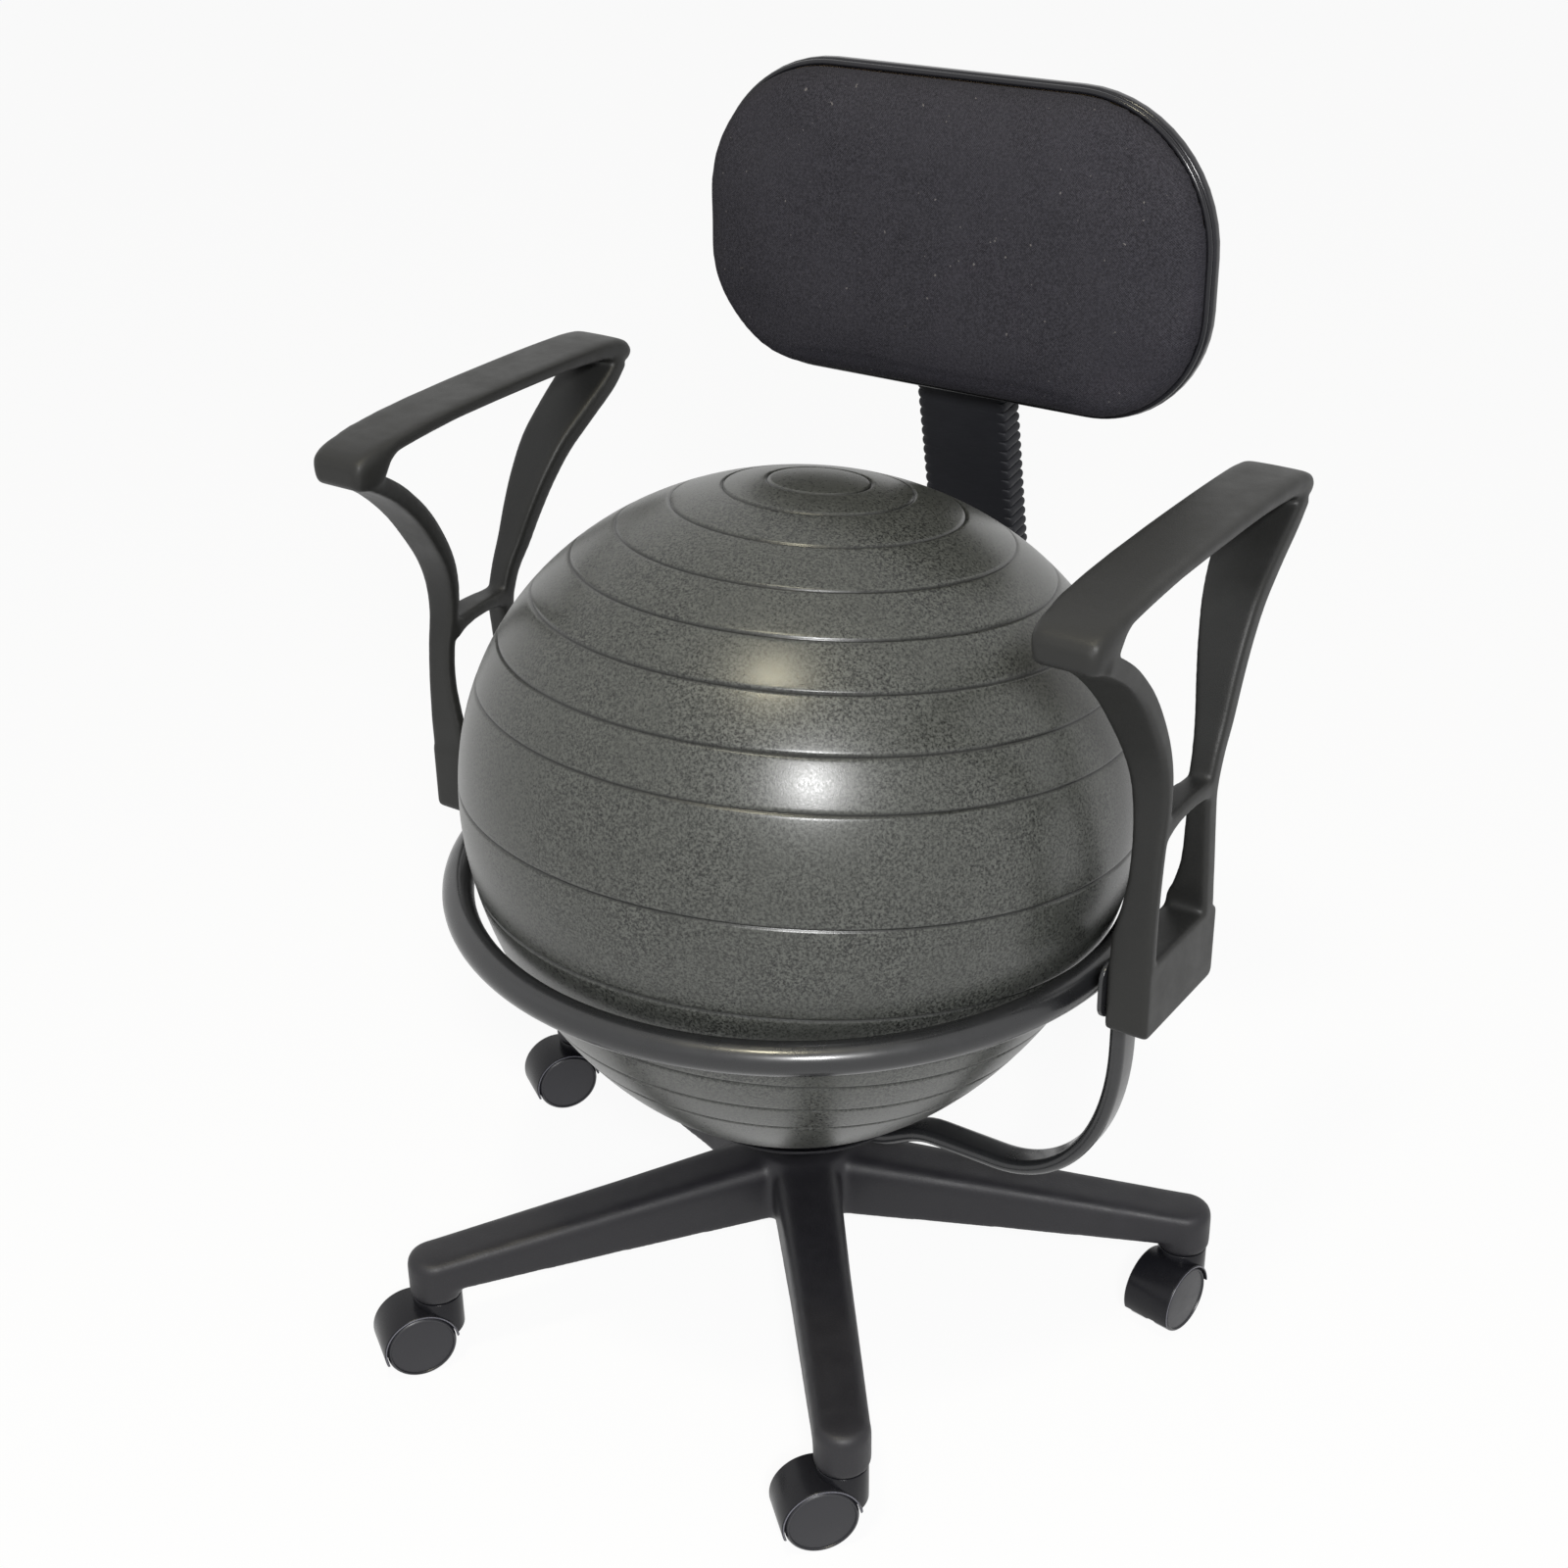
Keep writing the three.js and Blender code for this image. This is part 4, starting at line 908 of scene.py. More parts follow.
class CHAIR_OT_hub(bpy.types.Operator):
    """Disc and post under the ball, the bolt that holds them, and the dish on top"""

    bl_idname = "ball_chair.hub"
    bl_label = "Hub and Dish"

    def execute(self, context):
        self.post()
        self.dish(context.scene.ball_chair.frame.dish_radius)
        self.bolt()
        return {"FINISHED"}

    def post(self):
        low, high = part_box("frame_hub")
        foot, top, under = low.z, high.z, high.z - DISC_DEPTH
        bore, depth = POST_BORE
        bm = turned([
            (0, foot + depth), (bore, foot + depth), (bore, foot), (POST_FOOT_RADIUS, foot),
            (POST_RADIUS, foot + DISC_RIM), (POST_RADIUS, SHELF_Z), (SHELF_RADIUS, SHELF_Z),
            (SHOULDER_RADIUS, SHELF_Z + DISC_RIM), *((radius, top - drop) for radius, drop in NECK_PROFILE),
            (DISC_RADIUS - DISC_RIM, under), (DISC_RADIUS, under + DISC_RIM), (DISC_RADIUS, top - DISC_RIM),
            (DISC_RADIUS - DISC_RIM, top), (0, top),
        ], 72)
        new_piece("hub_post", bm, "powder_coat", "frame_hub")

    def dish(self, radius):
        low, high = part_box("ball_dish")
        floor_z, lip_z = low.z + DISH_WALL, high.z - DISH_LIP_DROP
        inside = [(0, floor_z)]
        for i in range(DISH_STEPS + 1):
            share = i / DISH_STEPS
            inside.append((blend(DISH_FLOOR_RADIUS, radius, share), blend(floor_z, lip_z, share**2)))
        outside = [(u, z - DISH_WALL) for u, z in reversed(inside)][1:]
        lip = [(radius + u, lip_z + v) for u, v in (*DISH_ROLL, DISH_FOLD)]
        bm = turned([*inside, *lip, *outside], 120)
        new_piece("dish_shell", bm, "caster_plastic", "ball_dish")

    def bolt(self):
        low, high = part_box("hub_bolt")
        flats, depth = HUB_BOLT_HEAD
        head = placed(hexagon_head(flats, depth), moved(0, 0, low.z))
        shank = rod(HUB_BOLT_RADIUS, low.z + depth - SHANK_SINK, high.z, 32, SHANK_TIP)
        new_piece("centre_bolt", joined(head, shank), "zinc_plate", "hub_bolt")
        low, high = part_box("hub_washer")
        bore, rim = WASHER_RADII
        small, edge, large = WASHER_EDGES
        bm = turned([
            (bore, low.z + small), (bore, high.z - small), (bore + edge, high.z), (rim - edge, high.z),
            (rim, high.z - large), (rim, low.z + large), (rim - edge, low.z), (bore + edge, low.z),
            (bore, low.z + small),
        ], 56)
        new_piece("centre_washer", bm, "zinc_plate", "hub_washer")


def hexagon_head(flats, depth):
    """A hexagon bolt head from 0 to depth along Z, chamfered on its lower side."""
    radius = flats / math.sqrt(3)
    flat_share, rise_share = HEAD_CHAMFER
    outer, top = radius * 1.02, depth + HEAD_CLEARANCE
    bm = bmesh.new()
    bmesh.ops.create_cone(
        bm, cap_ends=True, segments=6, radius1=radius, radius2=radius, depth=depth,
        matrix=moved(0, 0, depth / 2) @ rotated(math.pi / 6, "Z"))
    rim = [(flats / 2 * flat_share, 0), (outer, depth * rise_share)]
    crown = turned([(0, 0), *rim, (outer, top), (0, top)], 48)
    return combined(bm, [crown], "INTERSECT")


def hex_bolt(reach):
    """A hexagon-head bolt along Z: the head below zero, the shank above."""
    flats, depth = BOLT_HEAD
    head = placed(hexagon_head(flats, depth), moved(0, 0, -depth))
    return joined(head, rod(BOLT_RADIUS, -depth / 2, reach, 24, BOLT_TIP))


# Star base

LEG_COUNT = 5
LEG_RINGS = 12
HUB_RADIUS = 0.040
HUB_Z = (0.058, 0.110)
HUB_RIM = 0.005
HUB_BULGE = 0.3
LEG_TOP = (0.109, 0.092)
LEG_BOTTOM = (0.058, 0.067)
LEG_HALF = (0.025, 0.021, 0.0187)
LEG_FOOT = 0.0014
LEG_WALL = 0.0032
LEG_TOP_WALL = 0.004
CAVITY_SPAN = (0.020, 0.256)
CAVITY_CORE_RADIUS = 0.024
RIB_THICKNESS = 0.0024
RIB_COUNT = 4
BOSS_RADIUS = 0.019
BOSS_Z = (0.058, 0.093)
BOSS_FOOT = 0.001
STEM_RADIUS = 0.0055
STEM_TOP_Z = 0.086


def leg_section(s, reach):
    """Half width, underside and top of a leg at a distance from the centre."""
    share = reach / s.stem_reach
    near, middle, far = LEG_HALF
    half = blend(near, middle, share * 2) if share < 0.5 else blend(middle, far, share * 2 - 1)
    return half, blend(*LEG_BOTTOM, share), blend(*LEG_TOP, share)


def mirrored_ring(reach, section):
    """A closed ring across a leg from the (half width, height) points of its one side."""
    return [Vector((reach, y, z)) for y, z in [*section, *((-y, z) for y, z in reversed(section))]]


def leg_body(s):
    rings = []
    for i in range(LEG_RINGS + 1):
        reach = s.stem_reach * i / LEG_RINGS
        half, low, high = leg_section(s, reach)
        edge = blend(s.leg_edge, s.tip_edge, i / LEG_RINGS)
        shoulder = [(half - along, high - inward) for inward, along in rounding(edge, 6)]
        rings.append(mirrored_ring(reach, [(half - LEG_FOOT, low), (half, low + LEG_FOOT), *shoulder]))
    return skin(rings)


def tip_boss(s):
    foot, top = BOSS_Z
    shoulder = [(BOSS_RADIUS - along, LEG_TOP[1] - inward) for inward, along in rounding(s.tip_edge, 6)]
    side = [(BOSS_RADIUS - BOSS_FOOT, foot), (BOSS_RADIUS, foot + BOSS_FOOT)]
    return placed(turned([(0, foot), *side, *shoulder, (0, top)], 64), moved(s.stem_reach))


def leg_cavity(s):
    """The hollow under a leg, in cells between its slanting ribs."""
    rings = []
    for reach in (CAVITY_SPAN[0], s.stem_reach / 2, CAVITY_SPAN[1]):
        half, low, high = leg_section(s, reach)
        y, foot, top = half - LEG_WALL, low - MOUTH_OVERRUN, high - LEG_TOP_WALL
        rings.append(mirrored_ring(reach, [(y, foot), (y, top - LEG_WALL), (y - LEG_WALL, top)]))
    pitch = (CAVITY_SPAN[1] - HUB_RADIUS) / RIB_COUNT
    ribs = []
    for i in range(RIB_COUNT):
        reach = HUB_RADIUS + (i + 0.5) * pitch
        half, low, high = leg_section(s, reach)
        inner = 2 * (half - LEG_WALL)
        half_run = math.hypot(pitch, inner) / 2
        slant = math.atan2(inner, pitch) * (-1 if i % 2 else 1)
        half_rib = RIB_THICKNESS / 2
        rib = block((-half_run, -half_rib, low + LEG_WALL), (half_run, half_rib, high + OVERRUN))
        ribs.append(placed(rib, rotated(slant, "Z"), moved(reach)))
    core = rod(CAVITY_CORE_RADIUS, HUB_Z[0] - OVERRUN, HUB_Z[1] + OVERRUN, 48)
    return combined(skin(rings), [*ribs, core])


class CHAIR_OT_star(bpy.types.Operator):
    """Five-leg star base, fused with soft edges and hollow underneath"""

    bl_idname = "ball_chair.star"
    bl_label = "Star Base"

    def execute(self, context):
        s = context.scene.ball_chair.base
        turns = [rotated(QUARTER + s.turn + i * math.tau / LEG_COUNT, "Z") for i in range(LEG_COUNT)]
        low, high = HUB_Z
        hub = turned([
            (0, low), (HUB_RADIUS, low), (HUB_RADIUS, high - HUB_RIM),
            (HUB_RADIUS - HUB_RIM * HUB_BULGE, high - HUB_RIM * HUB_BULGE), (HUB_RADIUS - HUB_RIM, high),
            (0, high),
        ], 96)
        legs, bosses, cavities = ([placed(make(s), turn) for turn in turns]
                                  for make in (leg_body, tip_boss, leg_cavity))
        star = fused(joined(hub, *legs, *bosses), s.cell, 6, s.fillet_passes)
        bore = rod(POST_RADIUS + 2 * GAP, low - OVERRUN, high + OVERRUN, 48)
        sockets = [
            placed(rod(STEM_RADIUS + 2 * GAP, BOSS_Z[0] - OVERRUN, STEM_TOP_Z, 32), moved(s.stem_reach), turn)
            for turn in turns
        ]
        star = combined(star, [*cavities, joined(bore, *sockets)])
        new_piece("star_moulding", star, "base_nylon", "star_base", sharp=48)
        return {"FINISHED"}


# Casters

WEB_HALF = 0.0033
AXLE_RADIUS = 0.003
NECK_RADIUS = 0.0174
NECK_SINK = 0.004
HOOD_CUT_Z = (0.016, 0.030)
HOOD_CUT_BLOCK = ((-0.03, -0.08, -0.05), (0.03, 0.04, 0))
HOOD_EDGE = 0.0012
NECK_EDGE = 0.0006
WHEEL_CLEARANCE = 0.0006
AXLE_BOSS_RADIUS = 0.008
AXLE_BOSS_INSET = 0.0001
AXLE_BORE_HALF = 0.02
STEM_BORE_Z = (0.0457, 0.062)
RIM_BEAD = 0.00045
RIM_BEAD_INSET = (0.0010, 0.0003)
WHEEL_FACE = 0.0176
WHEEL_WEB = 0.0133
TREAD_INNER_EDGE = (0.0012, 0.0010)
TREAD_PROFILE = (
    (0, -0.0022), (0.0005, -0.0010), (0.0013, -0.0003), (0.0018, 0), (0.0023, -0.0002), (0.0027, -0.0010),
)
DISC_INSET = 0.0036
DISC_CROWN = 0.0009
DISC_SHARES = (1, 0.85, 0.7, 0.52, 0.34, 0.17, 0.06, 0)
PIN_NECK = 0.0008
PIN_PROFILE = (
    (1, 0, 0.046), (0, PIN_NECK, 0.046), (0, 0, 0.0468), (0, 0, 0.074), (0, PIN_NECK, 0.0744),
    (0, PIN_NECK, 0.0768), (0, 0, 0.0772), (0, 0, 0.0842), (0, 0.0015, 0.0857), (1, 0, 0.0857),
)


def caster_swivel(name):
    """Turn of a caster about its stem, found from where its axle trails."""
    stem = middle_of(f"caster_{name}_stem")
    axle = middle_of(f"caster_{name}_axle")
    return math.atan2(axle.x - stem.x, -(axle.y - stem.y))


def at_axle(s, bm):
    return placed(bm, TO_X, moved(0, -s.trail, s.wheel_radius))


def below_cut(s):
    """All that lies below a hood's slanting lower edge."""
    run = s.trail + s.hood_radius + NECK_RADIUS
    slope = math.atan2(HOOD_CUT_Z[1] - HOOD_CUT_Z[0], run)
    return placed(block(*HOOD_CUT_BLOCK), rotated(slope, "X"), moved(0, NECK_RADIUS, HOOD_CUT_Z[1]))


def caster_hood(s):
    """Fender, neck and web in one moulding, cut off along a slanting lower edge."""
    half, well = s.hood_half_width, s.wheel_radius + WHEEL_CLEARANCE
    fender = at_axle(s, rod(s.hood_radius, -half, half, 96, HOOD_EDGE))
    neck = rod(NECK_RADIUS, HOOD_CUT_Z[1] - NECK_SINK, BOSS_Z[0] - GAP, 72, NECK_EDGE)
    body = combined(fender, [neck], "UNION")
    end = half + MOUTH_OVERRUN
    wells = [at_axle(s, rod(well, low, high, 96)) for low, high in ((WEB_HALF, end), (-end, -WEB_HALF))]
    body = combined(body, [*wells, below_cut(s)])
    boss_half = WEB_HALF - AXLE_BOSS_INSET
    body = combined(body, [at_axle(s, rod(AXLE_BOSS_RADIUS, -boss_half, boss_half, 32))], "UNION")
    axle_hole = at_axle(s, rod(AXLE_RADIUS + GAP, -AXLE_BORE_HALF, AXLE_BORE_HALF, 24))
    return combined(body, [axle_hole, rod(STEM_RADIUS + GAP, *STEM_BORE_Z, 32)])


def hood_rims(s):
    """The beads along the two rims of a hood, light in colour as a painted highlight, cut off like the hood.
    """
    inward, back = RIM_BEAD_INSET
    rims = []
    for side in (-1, 1):
        across = side * (s.hood_half_width - back)
        profile = [(s.hood_radius - inward + u, across + v) for u, v in circle(RIM_BEAD, 8)]
        rims.append(at_axle(s, turned([*profile, profile[0]], 96)))
    return combined(joined(*rims), [below_cut(s)])


def caster_wheel(s):
    """Wheel with a rounded tread edge, a raised rim and a slightly domed disc."""
    inner, bore, tread = WEB_HALF + GAP, AXLE_RADIUS + GAP, s.wheel_radius
    back, out = TREAD_INNER_EDGE
    profile = [(0, WHEEL_WEB), (bore, WHEEL_WEB), (bore, inner), (tread - back, inner), (tread, inner + out)]
    profile += [(tread - inset, WHEEL_FACE + rise) for inset, rise in TREAD_PROFILE]
    profile += [
        (share * (tread - DISC_INSET), WHEEL_FACE - DISC_CROWN + DISC_CROWN * (1 - share * share))
        for share in DISC_SHARES
    ]
    return placed(turned(profile, s.segments), TO_X)


class CHAIR_OT_casters(bpy.types.Operator):
    """Hooded twin-wheel casters: hood, stem and two wheels each"""

    bl_idname = "ball_chair.casters"
    bl_label = "Casters"

    def execute(self, context):
        s = context.scene.ball_chair.caster
        pin = turned([(0 if core else STEM_RADIUS - inset, z) for core, inset, z in PIN_PROFILE], 32)
        fender, rims, wheel = caster_hood(s), hood_rims(s), caster_wheel(s)
        for name in CASTER_NAMES:
            body = f"caster_{name}"
            stem = middle_of(f"{body}_stem")
            place = moved(stem.x, stem.y) @ rotated(caster_swivel(name), "Z")
            pieces = [
                (f"{body}_fender", fender, moved(), "caster_plastic", f"{body}_hood", body, 30),
                # The rim beads are painted light, as a highlight along the hood's edges
                (f"{body}_rims", rims, moved(), "worn_edge", None, body, 35),
            ]
            for side, turn in (("outer", 0), ("inner", math.pi)):
                at_hub = moved(0, -s.trail, s.wheel_radius) @ rotated(turn, "Z")
                ride = f"{body}_wheel_{side}"
                pieces.append((f"{body}_disc_{side}", wheel, at_hub, "wheel_plastic", ride, ride, 30))
            pieces.append((f"{body}_pin", pin, moved(), "zinc_plate", f"{body}_stem", body, 35))
            for piece, bm, first, material, replaces, ride, sharp in pieces:
                copy = placed(bm.copy(), first, place)
                new_piece(piece, copy, material, replaces, ride, sharp=sharp, offset=Vector())
        for bm in (fender, rims, wheel, pin):
            bm.free()
        return {"FINISHED"}


class CHAIR_OT_axles(bpy.types.Operator):
    """Finish of the caster axles, which stay as they are"""

    bl_idname = "ball_chair.axles"
    bl_label = "Axles"

    def execute(self, context):
        for name in CASTER_NAMES:
            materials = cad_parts[f"caster_{name}_axle"].data.materials
            materials.clear()
            materials.append(bpy.data.materials["zinc_plate"])
        return {"FINISHED"}


# Armrests

# Each station of a strap: place along the reach and the rise, then its share of full depth and width
FRONT_STRAP = (
    (-0.29, 0.02, 0.68, 0.625), (-0.297, 0.215, 0.68, 0.617), (-0.297, 0.27, 0.66, 0.553),
    (-0.29, 0.358, 0.64, 0.46), (-0.273, 0.447, 0.64, 0.447), (-0.247, 0.529, 0.68, 0.5),
    (-0.253, 0.608, 0.75, 0.56), (-0.297, 0.683, 0.82, 0.638), (-0.38, 0.761, 0.93, 0.7),
    (-0.483, 0.836, 0.96, 0.755), (-0.613, 0.904, 0.96, 0.81), (-0.72, 0.945, 0.96, 0.87),
    (-0.853, 0.986, 0.96, 0.957),
)
REAR_STRAP = (
    (0.253, 0.02, 1, 0.625), (0.24, 0.188, 1, 0.625), (0.23, 0.242, 1, 0.52),
    (0.219, 0.307, 1, 0.415), (0.197, 0.413, 1, 0.36), (0.19, 0.488, 1, 0.36),
    (0.233, 0.563, 1, 0.394), (0.297, 0.631, 1.07, 0.48), (0.357, 0.706, 1.1, 0.585),
    (0.43, 0.782, 1.1, 0.7), (0.53, 0.857, 1.1, 0.82), (0.68, 0.925, 1.03, 0.936),
    (0.823, 0.98, 1, 1), (0.927, 1.027, 0.93, 1),
)
STRAP_STEPS = 6
BRIDGE_STATION = 5
BRIDGE_SHARE = 0.495
BRIDGE_STEPS = 16
BRIDGE_DEPTH = 0.010
BRIDGE_ARCH = 0.003
BRIDGE_FLARE = 0.004
BRIDGE_FLARE_POWER = 4
ARM_BASE_Y = (-0.050, 0.048)
ARM_BASE_HEIGHT = 0.054
ARM_BASE_CORNER = 0.005
ARM_BASE_RIM = 0.002
BOLT_SPREAD = {"front": -0.032, "rear": 0.032}
ARM_BOLT_Z = 0.356
ARM_BOLT_REACH = 0.020
BRACKET_DEPTH = 0.003
BRACKET_CORNER = 0.012
BRACKET_RIM = 0.0005
PAD_WIDTH = 0.0475
PAD_Y = (-0.142, 0.152)
PAD_CROWN_RISE = 0.0265
PAD_DEPTH = 0.012
PAD_STEPS = 4
# Each station of the pad: place along it, its share of the half width, then its crown and depth as shares
# of the pad's depth
PAD_STATIONS = (
    (0, 0.72, -1.71, 0.92), (0.01, 0.88, -1.29, 1.63), (0.031, 0.96, -1, 2.08), (0.061, 1, -0.79, 2.33),
    (0.088, 1, -0.68, 2.11), (0.109, 1, -0.6, 1.36), (0.136, 1, -0.52, 0.98), (0.228, 1, -0.31, 0.94),
    (0.347, 1, -0.16, 0.88), (0.534, 1, -0.04, 0.92), (0.738, 1, 0, 0.96), (0.891, 1, -0.04, 1.17),
    (0.952, 1, -0.17, 1.54), (0.983, 0.97, -0.46, 1.33), (1, 0.9, -0.96, 0.58),
)
PAD_SECTION = (
    (0, 1), (0.4, 0.995), (0.7, 0.985), (0.82, 0.965), (0.9, 0.925), (0.95, 0.865), (0.985, 0.78), (1, 0.68),
    (0.995, 0.5), (0.97, 0.3), (0.93, 0.13), (0.86, 0.03), (0.8, 0),
)


def bracket_x(s):
    return strut_x(s) + s.strut_depth / 2 + GAP


def arm_bolt_places():
    return [(0, y, ARM_BOLT_Z) for y in BOLT_SPREAD.values()]


def smooth_curve(points, steps):
    """A curve through points with even tangents, in steps between each pair."""
    path = []
    for i in range(len(points) - 1):
        before, a, b = points[max(i - 1, 0)], points[i], points[i + 1]
        after = points[min(i + 2, len(points) - 1)]
        path += interpolate_bezier(a, a + (b - before) / 6, b - (after - a) / 6, b, steps + 1)[:-1]
    return [*path, points[-1]]


def band_section(s, width, depth):
    """A section of the armrest's band whose outer side is flush with the others."""
    return [(u - width / 2, v) for u, v in rounded_rectangle(width / 2, depth / 2, s.edge, 3)]


def strap(s, stations):
    """A band that changes width and depth along its curve."""
    corners = [Vector((s.outer_x, y * s.reach, s.bottom_z + z * s.rise)) for y, z, *_ in stations]
    sizes = smooth_curve([Vector((depth, width, 0)) for *_, depth, width in stations], STRAP_STEPS)

    def section_at(share):
        depth, width, _ = sizes[round(share * (len(sizes) - 1))]
        return band_section(s, width * s.strap_width, depth * s.strap_depth)

    return swept(section_at, smooth_curve(corners, STRAP_STEPS), ASIDE)


def arm_bridge(s):
    """The thin web between the waists of the straps, flared into both."""
    front, rear = FRONT_STRAP[BRIDGE_STATION], REAR_STRAP[BRIDGE_STATION]
    path = []
    for i in range(BRIDGE_STEPS + 1):
        share = i / BRIDGE_STEPS
        z = s.bottom_z + BRIDGE_SHARE * s.rise + BRIDGE_ARCH * math.sin(share * math.pi)
        path.append(Vector((s.outer_x, blend(front[0], rear[0], share) * s.reach, z)))

    def section_at(share):
        depth = BRIDGE_DEPTH + 2 * BRIDGE_FLARE * (2 * abs(share - 0.5)) ** BRIDGE_FLARE_POWER
        return band_section(s, blend(front[3], rear[3], share) * s.strap_width, depth)

    return swept(section_at, path, ASIDE)


def arm_base(s, inner_x):
    low, high = ARM_BASE_Y
    outline = rounded_rectangle((high - low) / 2, ARM_BASE_HEIGHT / 2, ARM_BASE_CORNER, 6)
    bm = placed(plate(outline, s.outer_x - inner_x, ARM_BASE_RIM, 3), TO_X, TO_FRONT)
    return placed(bm, moved(inner_x, (low + high) / 2, s.bottom_z + ARM_BASE_HEIGHT / 2))


def arm_pad(s):
    """The flat top of the band, with its nose hooked down in front and its corner turned down behind."""
    sizes = smooth_curve([Vector(station[1:]) for station in PAD_STATIONS], PAD_STEPS)
    places = [station[0] for station in PAD_STATIONS]
    half_width = PAD_WIDTH / 2
    middle = s.outer_x + GAP - half_width
    crown_z = s.bottom_z + s.rise + PAD_CROWN_RISE
    rings = []
    for i, (half, crown, depth) in enumerate(sizes):
        index, part = divmod(i, PAD_STEPS)
        along = blend(places[index], places[min(index + 1, len(places) - 1)], part / PAD_STEPS)
        right = [
            (u * half * half_width, crown_z + (crown - (1 - v) * depth) * PAD_DEPTH) for u, v in PAD_SECTION
        ]
        ring = right + [(-u, z) for u, z in reversed(right[1:])]
        rings.append([Vector((middle + u, blend(*PAD_Y, along), z)) for u, z in ring])
    return skin(rings)


class CHAIR_OT_armrests(bpy.types.Operator):
    """Looped armrests, each one fused moulding, mirrored for the other side"""

    bl_idname = "ball_chair.armrests"
    bl_label = "Armrests"

    def execute(self, context):
        s, inside = context.scene.ball_chair.arm, bracket_x(context.scene.ball_chair.frame)
        inner_x = inside + BRACKET_DEPTH + GAP
        parts = [arm_base(s, inner_x), strap(s, FRONT_STRAP), strap(s, REAR_STRAP), arm_bridge(s), arm_pad(s)]
        body = fused(joined(*parts), s.cell, 4, s.fillet_passes)
        hole_end = inside + ARM_BOLT_REACH + GAP
        right = combined(body, bores(BOLT_RADIUS + GAP, inner_x - OVERRUN, hole_end, TO_X, arm_bolt_places()))
        left = mirrored(right.copy())
        for side, bm in (("right", right), ("left", left)):
            new_piece(f"arm_moulding_{side}", bm, "arm_nylon", f"armrest_{side}", sharp=50)
        return {"FINISHED"}


class CHAIR_OT_arm_fixings(bpy.types.Operator):
    """Bracket plates and bolts between the struts and the armrests"""

    bl_idname = "ball_chair.arm_fixings"
    bl_label = "Arm Fixings"

    def execute(self, context):
        inner_x = bracket_x(context.scene.ball_chair.frame)
        for side in ("right", "left"):
            pieces = [(f"bracket_plate_{side}", self.bracket(inner_x), "powder_coat", f"arm_bracket_{side}")]
            for place, y in BOLT_SPREAD.items():
                bolt = placed(hex_bolt(ARM_BOLT_REACH), TO_X, moved(inner_x - GAP, y, ARM_BOLT_Z))
                pieces.append((f"arm_screw_{side}_{place}", bolt, "zinc_plate", f"arm_bolt_{side}_{place}"))
            for name, bm, material, replaces in pieces:
                new_piece(name, mirrored(bm) if side == "left" else bm, material, replaces)
        return {"FINISHED"}

    def bracket(self, inner_x):
        low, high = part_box("arm_bracket_right")
        outline = rounded_rectangle((high.y - low.y) / 2, (high.z - low.z) / 2, BRACKET_CORNER, 8)
        bm = placed(plate(outline, BRACKET_DEPTH, BRACKET_RIM, 2), TO_X, TO_FRONT)
        placed(bm, moved(inner_x, 0, (low.z + high.z) / 2))
        start, end = inner_x - OVERRUN, inner_x + BRACKET_DEPTH + OVERRUN
        return combined(bm, bores(BOLT_RADIUS + GAP, start, end, TO_X, arm_bolt_places()))


# Back bar and bellows

BAR_Z = (0.330, 0.775)
BAR_EDGE = 0.0012
BELLOWS_Z = (0.414, 0.635)
BELLOWS_HALF = (0.032, 0.010)
BELLOWS_CORNER = 0.004
BELLOWS_CUFF = 0.005
BELLOWS_LIP = 0.0012
STEPS_PER_RIB = 12
RIB_SHARPNESS = 0.16
RIB_FADE = (0.86, 0.1)


def bar_foot_y():
    chair = bpy.context.scene.ball_chair
    return bracket_x(chair.frame) + chair.bar.depth / 2


def bar_path(s):
    """The bar's middle line: upright, leaning back and upright again, with round bends."""
    foot_y = bar_foot_y()
    places = ((foot_y, BAR_Z[0]), (foot_y, s.lean_start_z), (s.top_y, s.lean_end_z), (s.top_y, BAR_Z[1]))
    corners = [Vector((0, y, z)) for y, z in places]
    path = [corners[0]]
    for before, corner, after in zip(corners, corners[1:], corners[2:]):
        start = corner + (before - corner).normalized() * s.bend / 2
        end = corner + (after - corner).normalized() * s.bend / 2
        path += interpolate_bezier(start, blend(start, corner, 2 / 3), blend(end, corner, 2 / 3), end, 10)
    return [*path, corners[-1]]


class CHAIR_OT_back_bar(bpy.types.Operator):
    """Flat steel bar that carries the backrest, and the two bolts at its foot"""

    bl_idname = "ball_chair.back_bar"
    bl_label = "Back Bar"

    def execute(self, context):
        s = context.scene.ball_chair.bar
        section = rounded_rectangle(s.width / 2, s.depth / 2, BAR_EDGE, 4)
        bm = swept(lambda share: section, bar_path(s), ASIDE)
        foot_y = bar_foot_y()
        places = [(0, foot_y, z) for z in BAR_BOLT_ZS]
        bm = combined(bm, bores(BOLT_RADIUS + GAP, -s.width / 2, s.width / 2, TO_Y, places))
        new_piece("flat_bar", bm, "powder_coat", "back_bar")
        low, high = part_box("bar_bolt_lower")
        for name, z in zip(("lower", "upper"), BAR_BOLT_ZS):
            seat = moved(0, foot_y + s.depth / 2 + GAP, z)
            bolt = placed(hex_bolt(high.y - low.y - BOLT_HEAD[1]), TO_FRONT, seat)
            new_piece(f"bar_screw_{name}", bolt, "zinc_plate", f"bar_bolt_{name}")
        return {"FINISHED"}


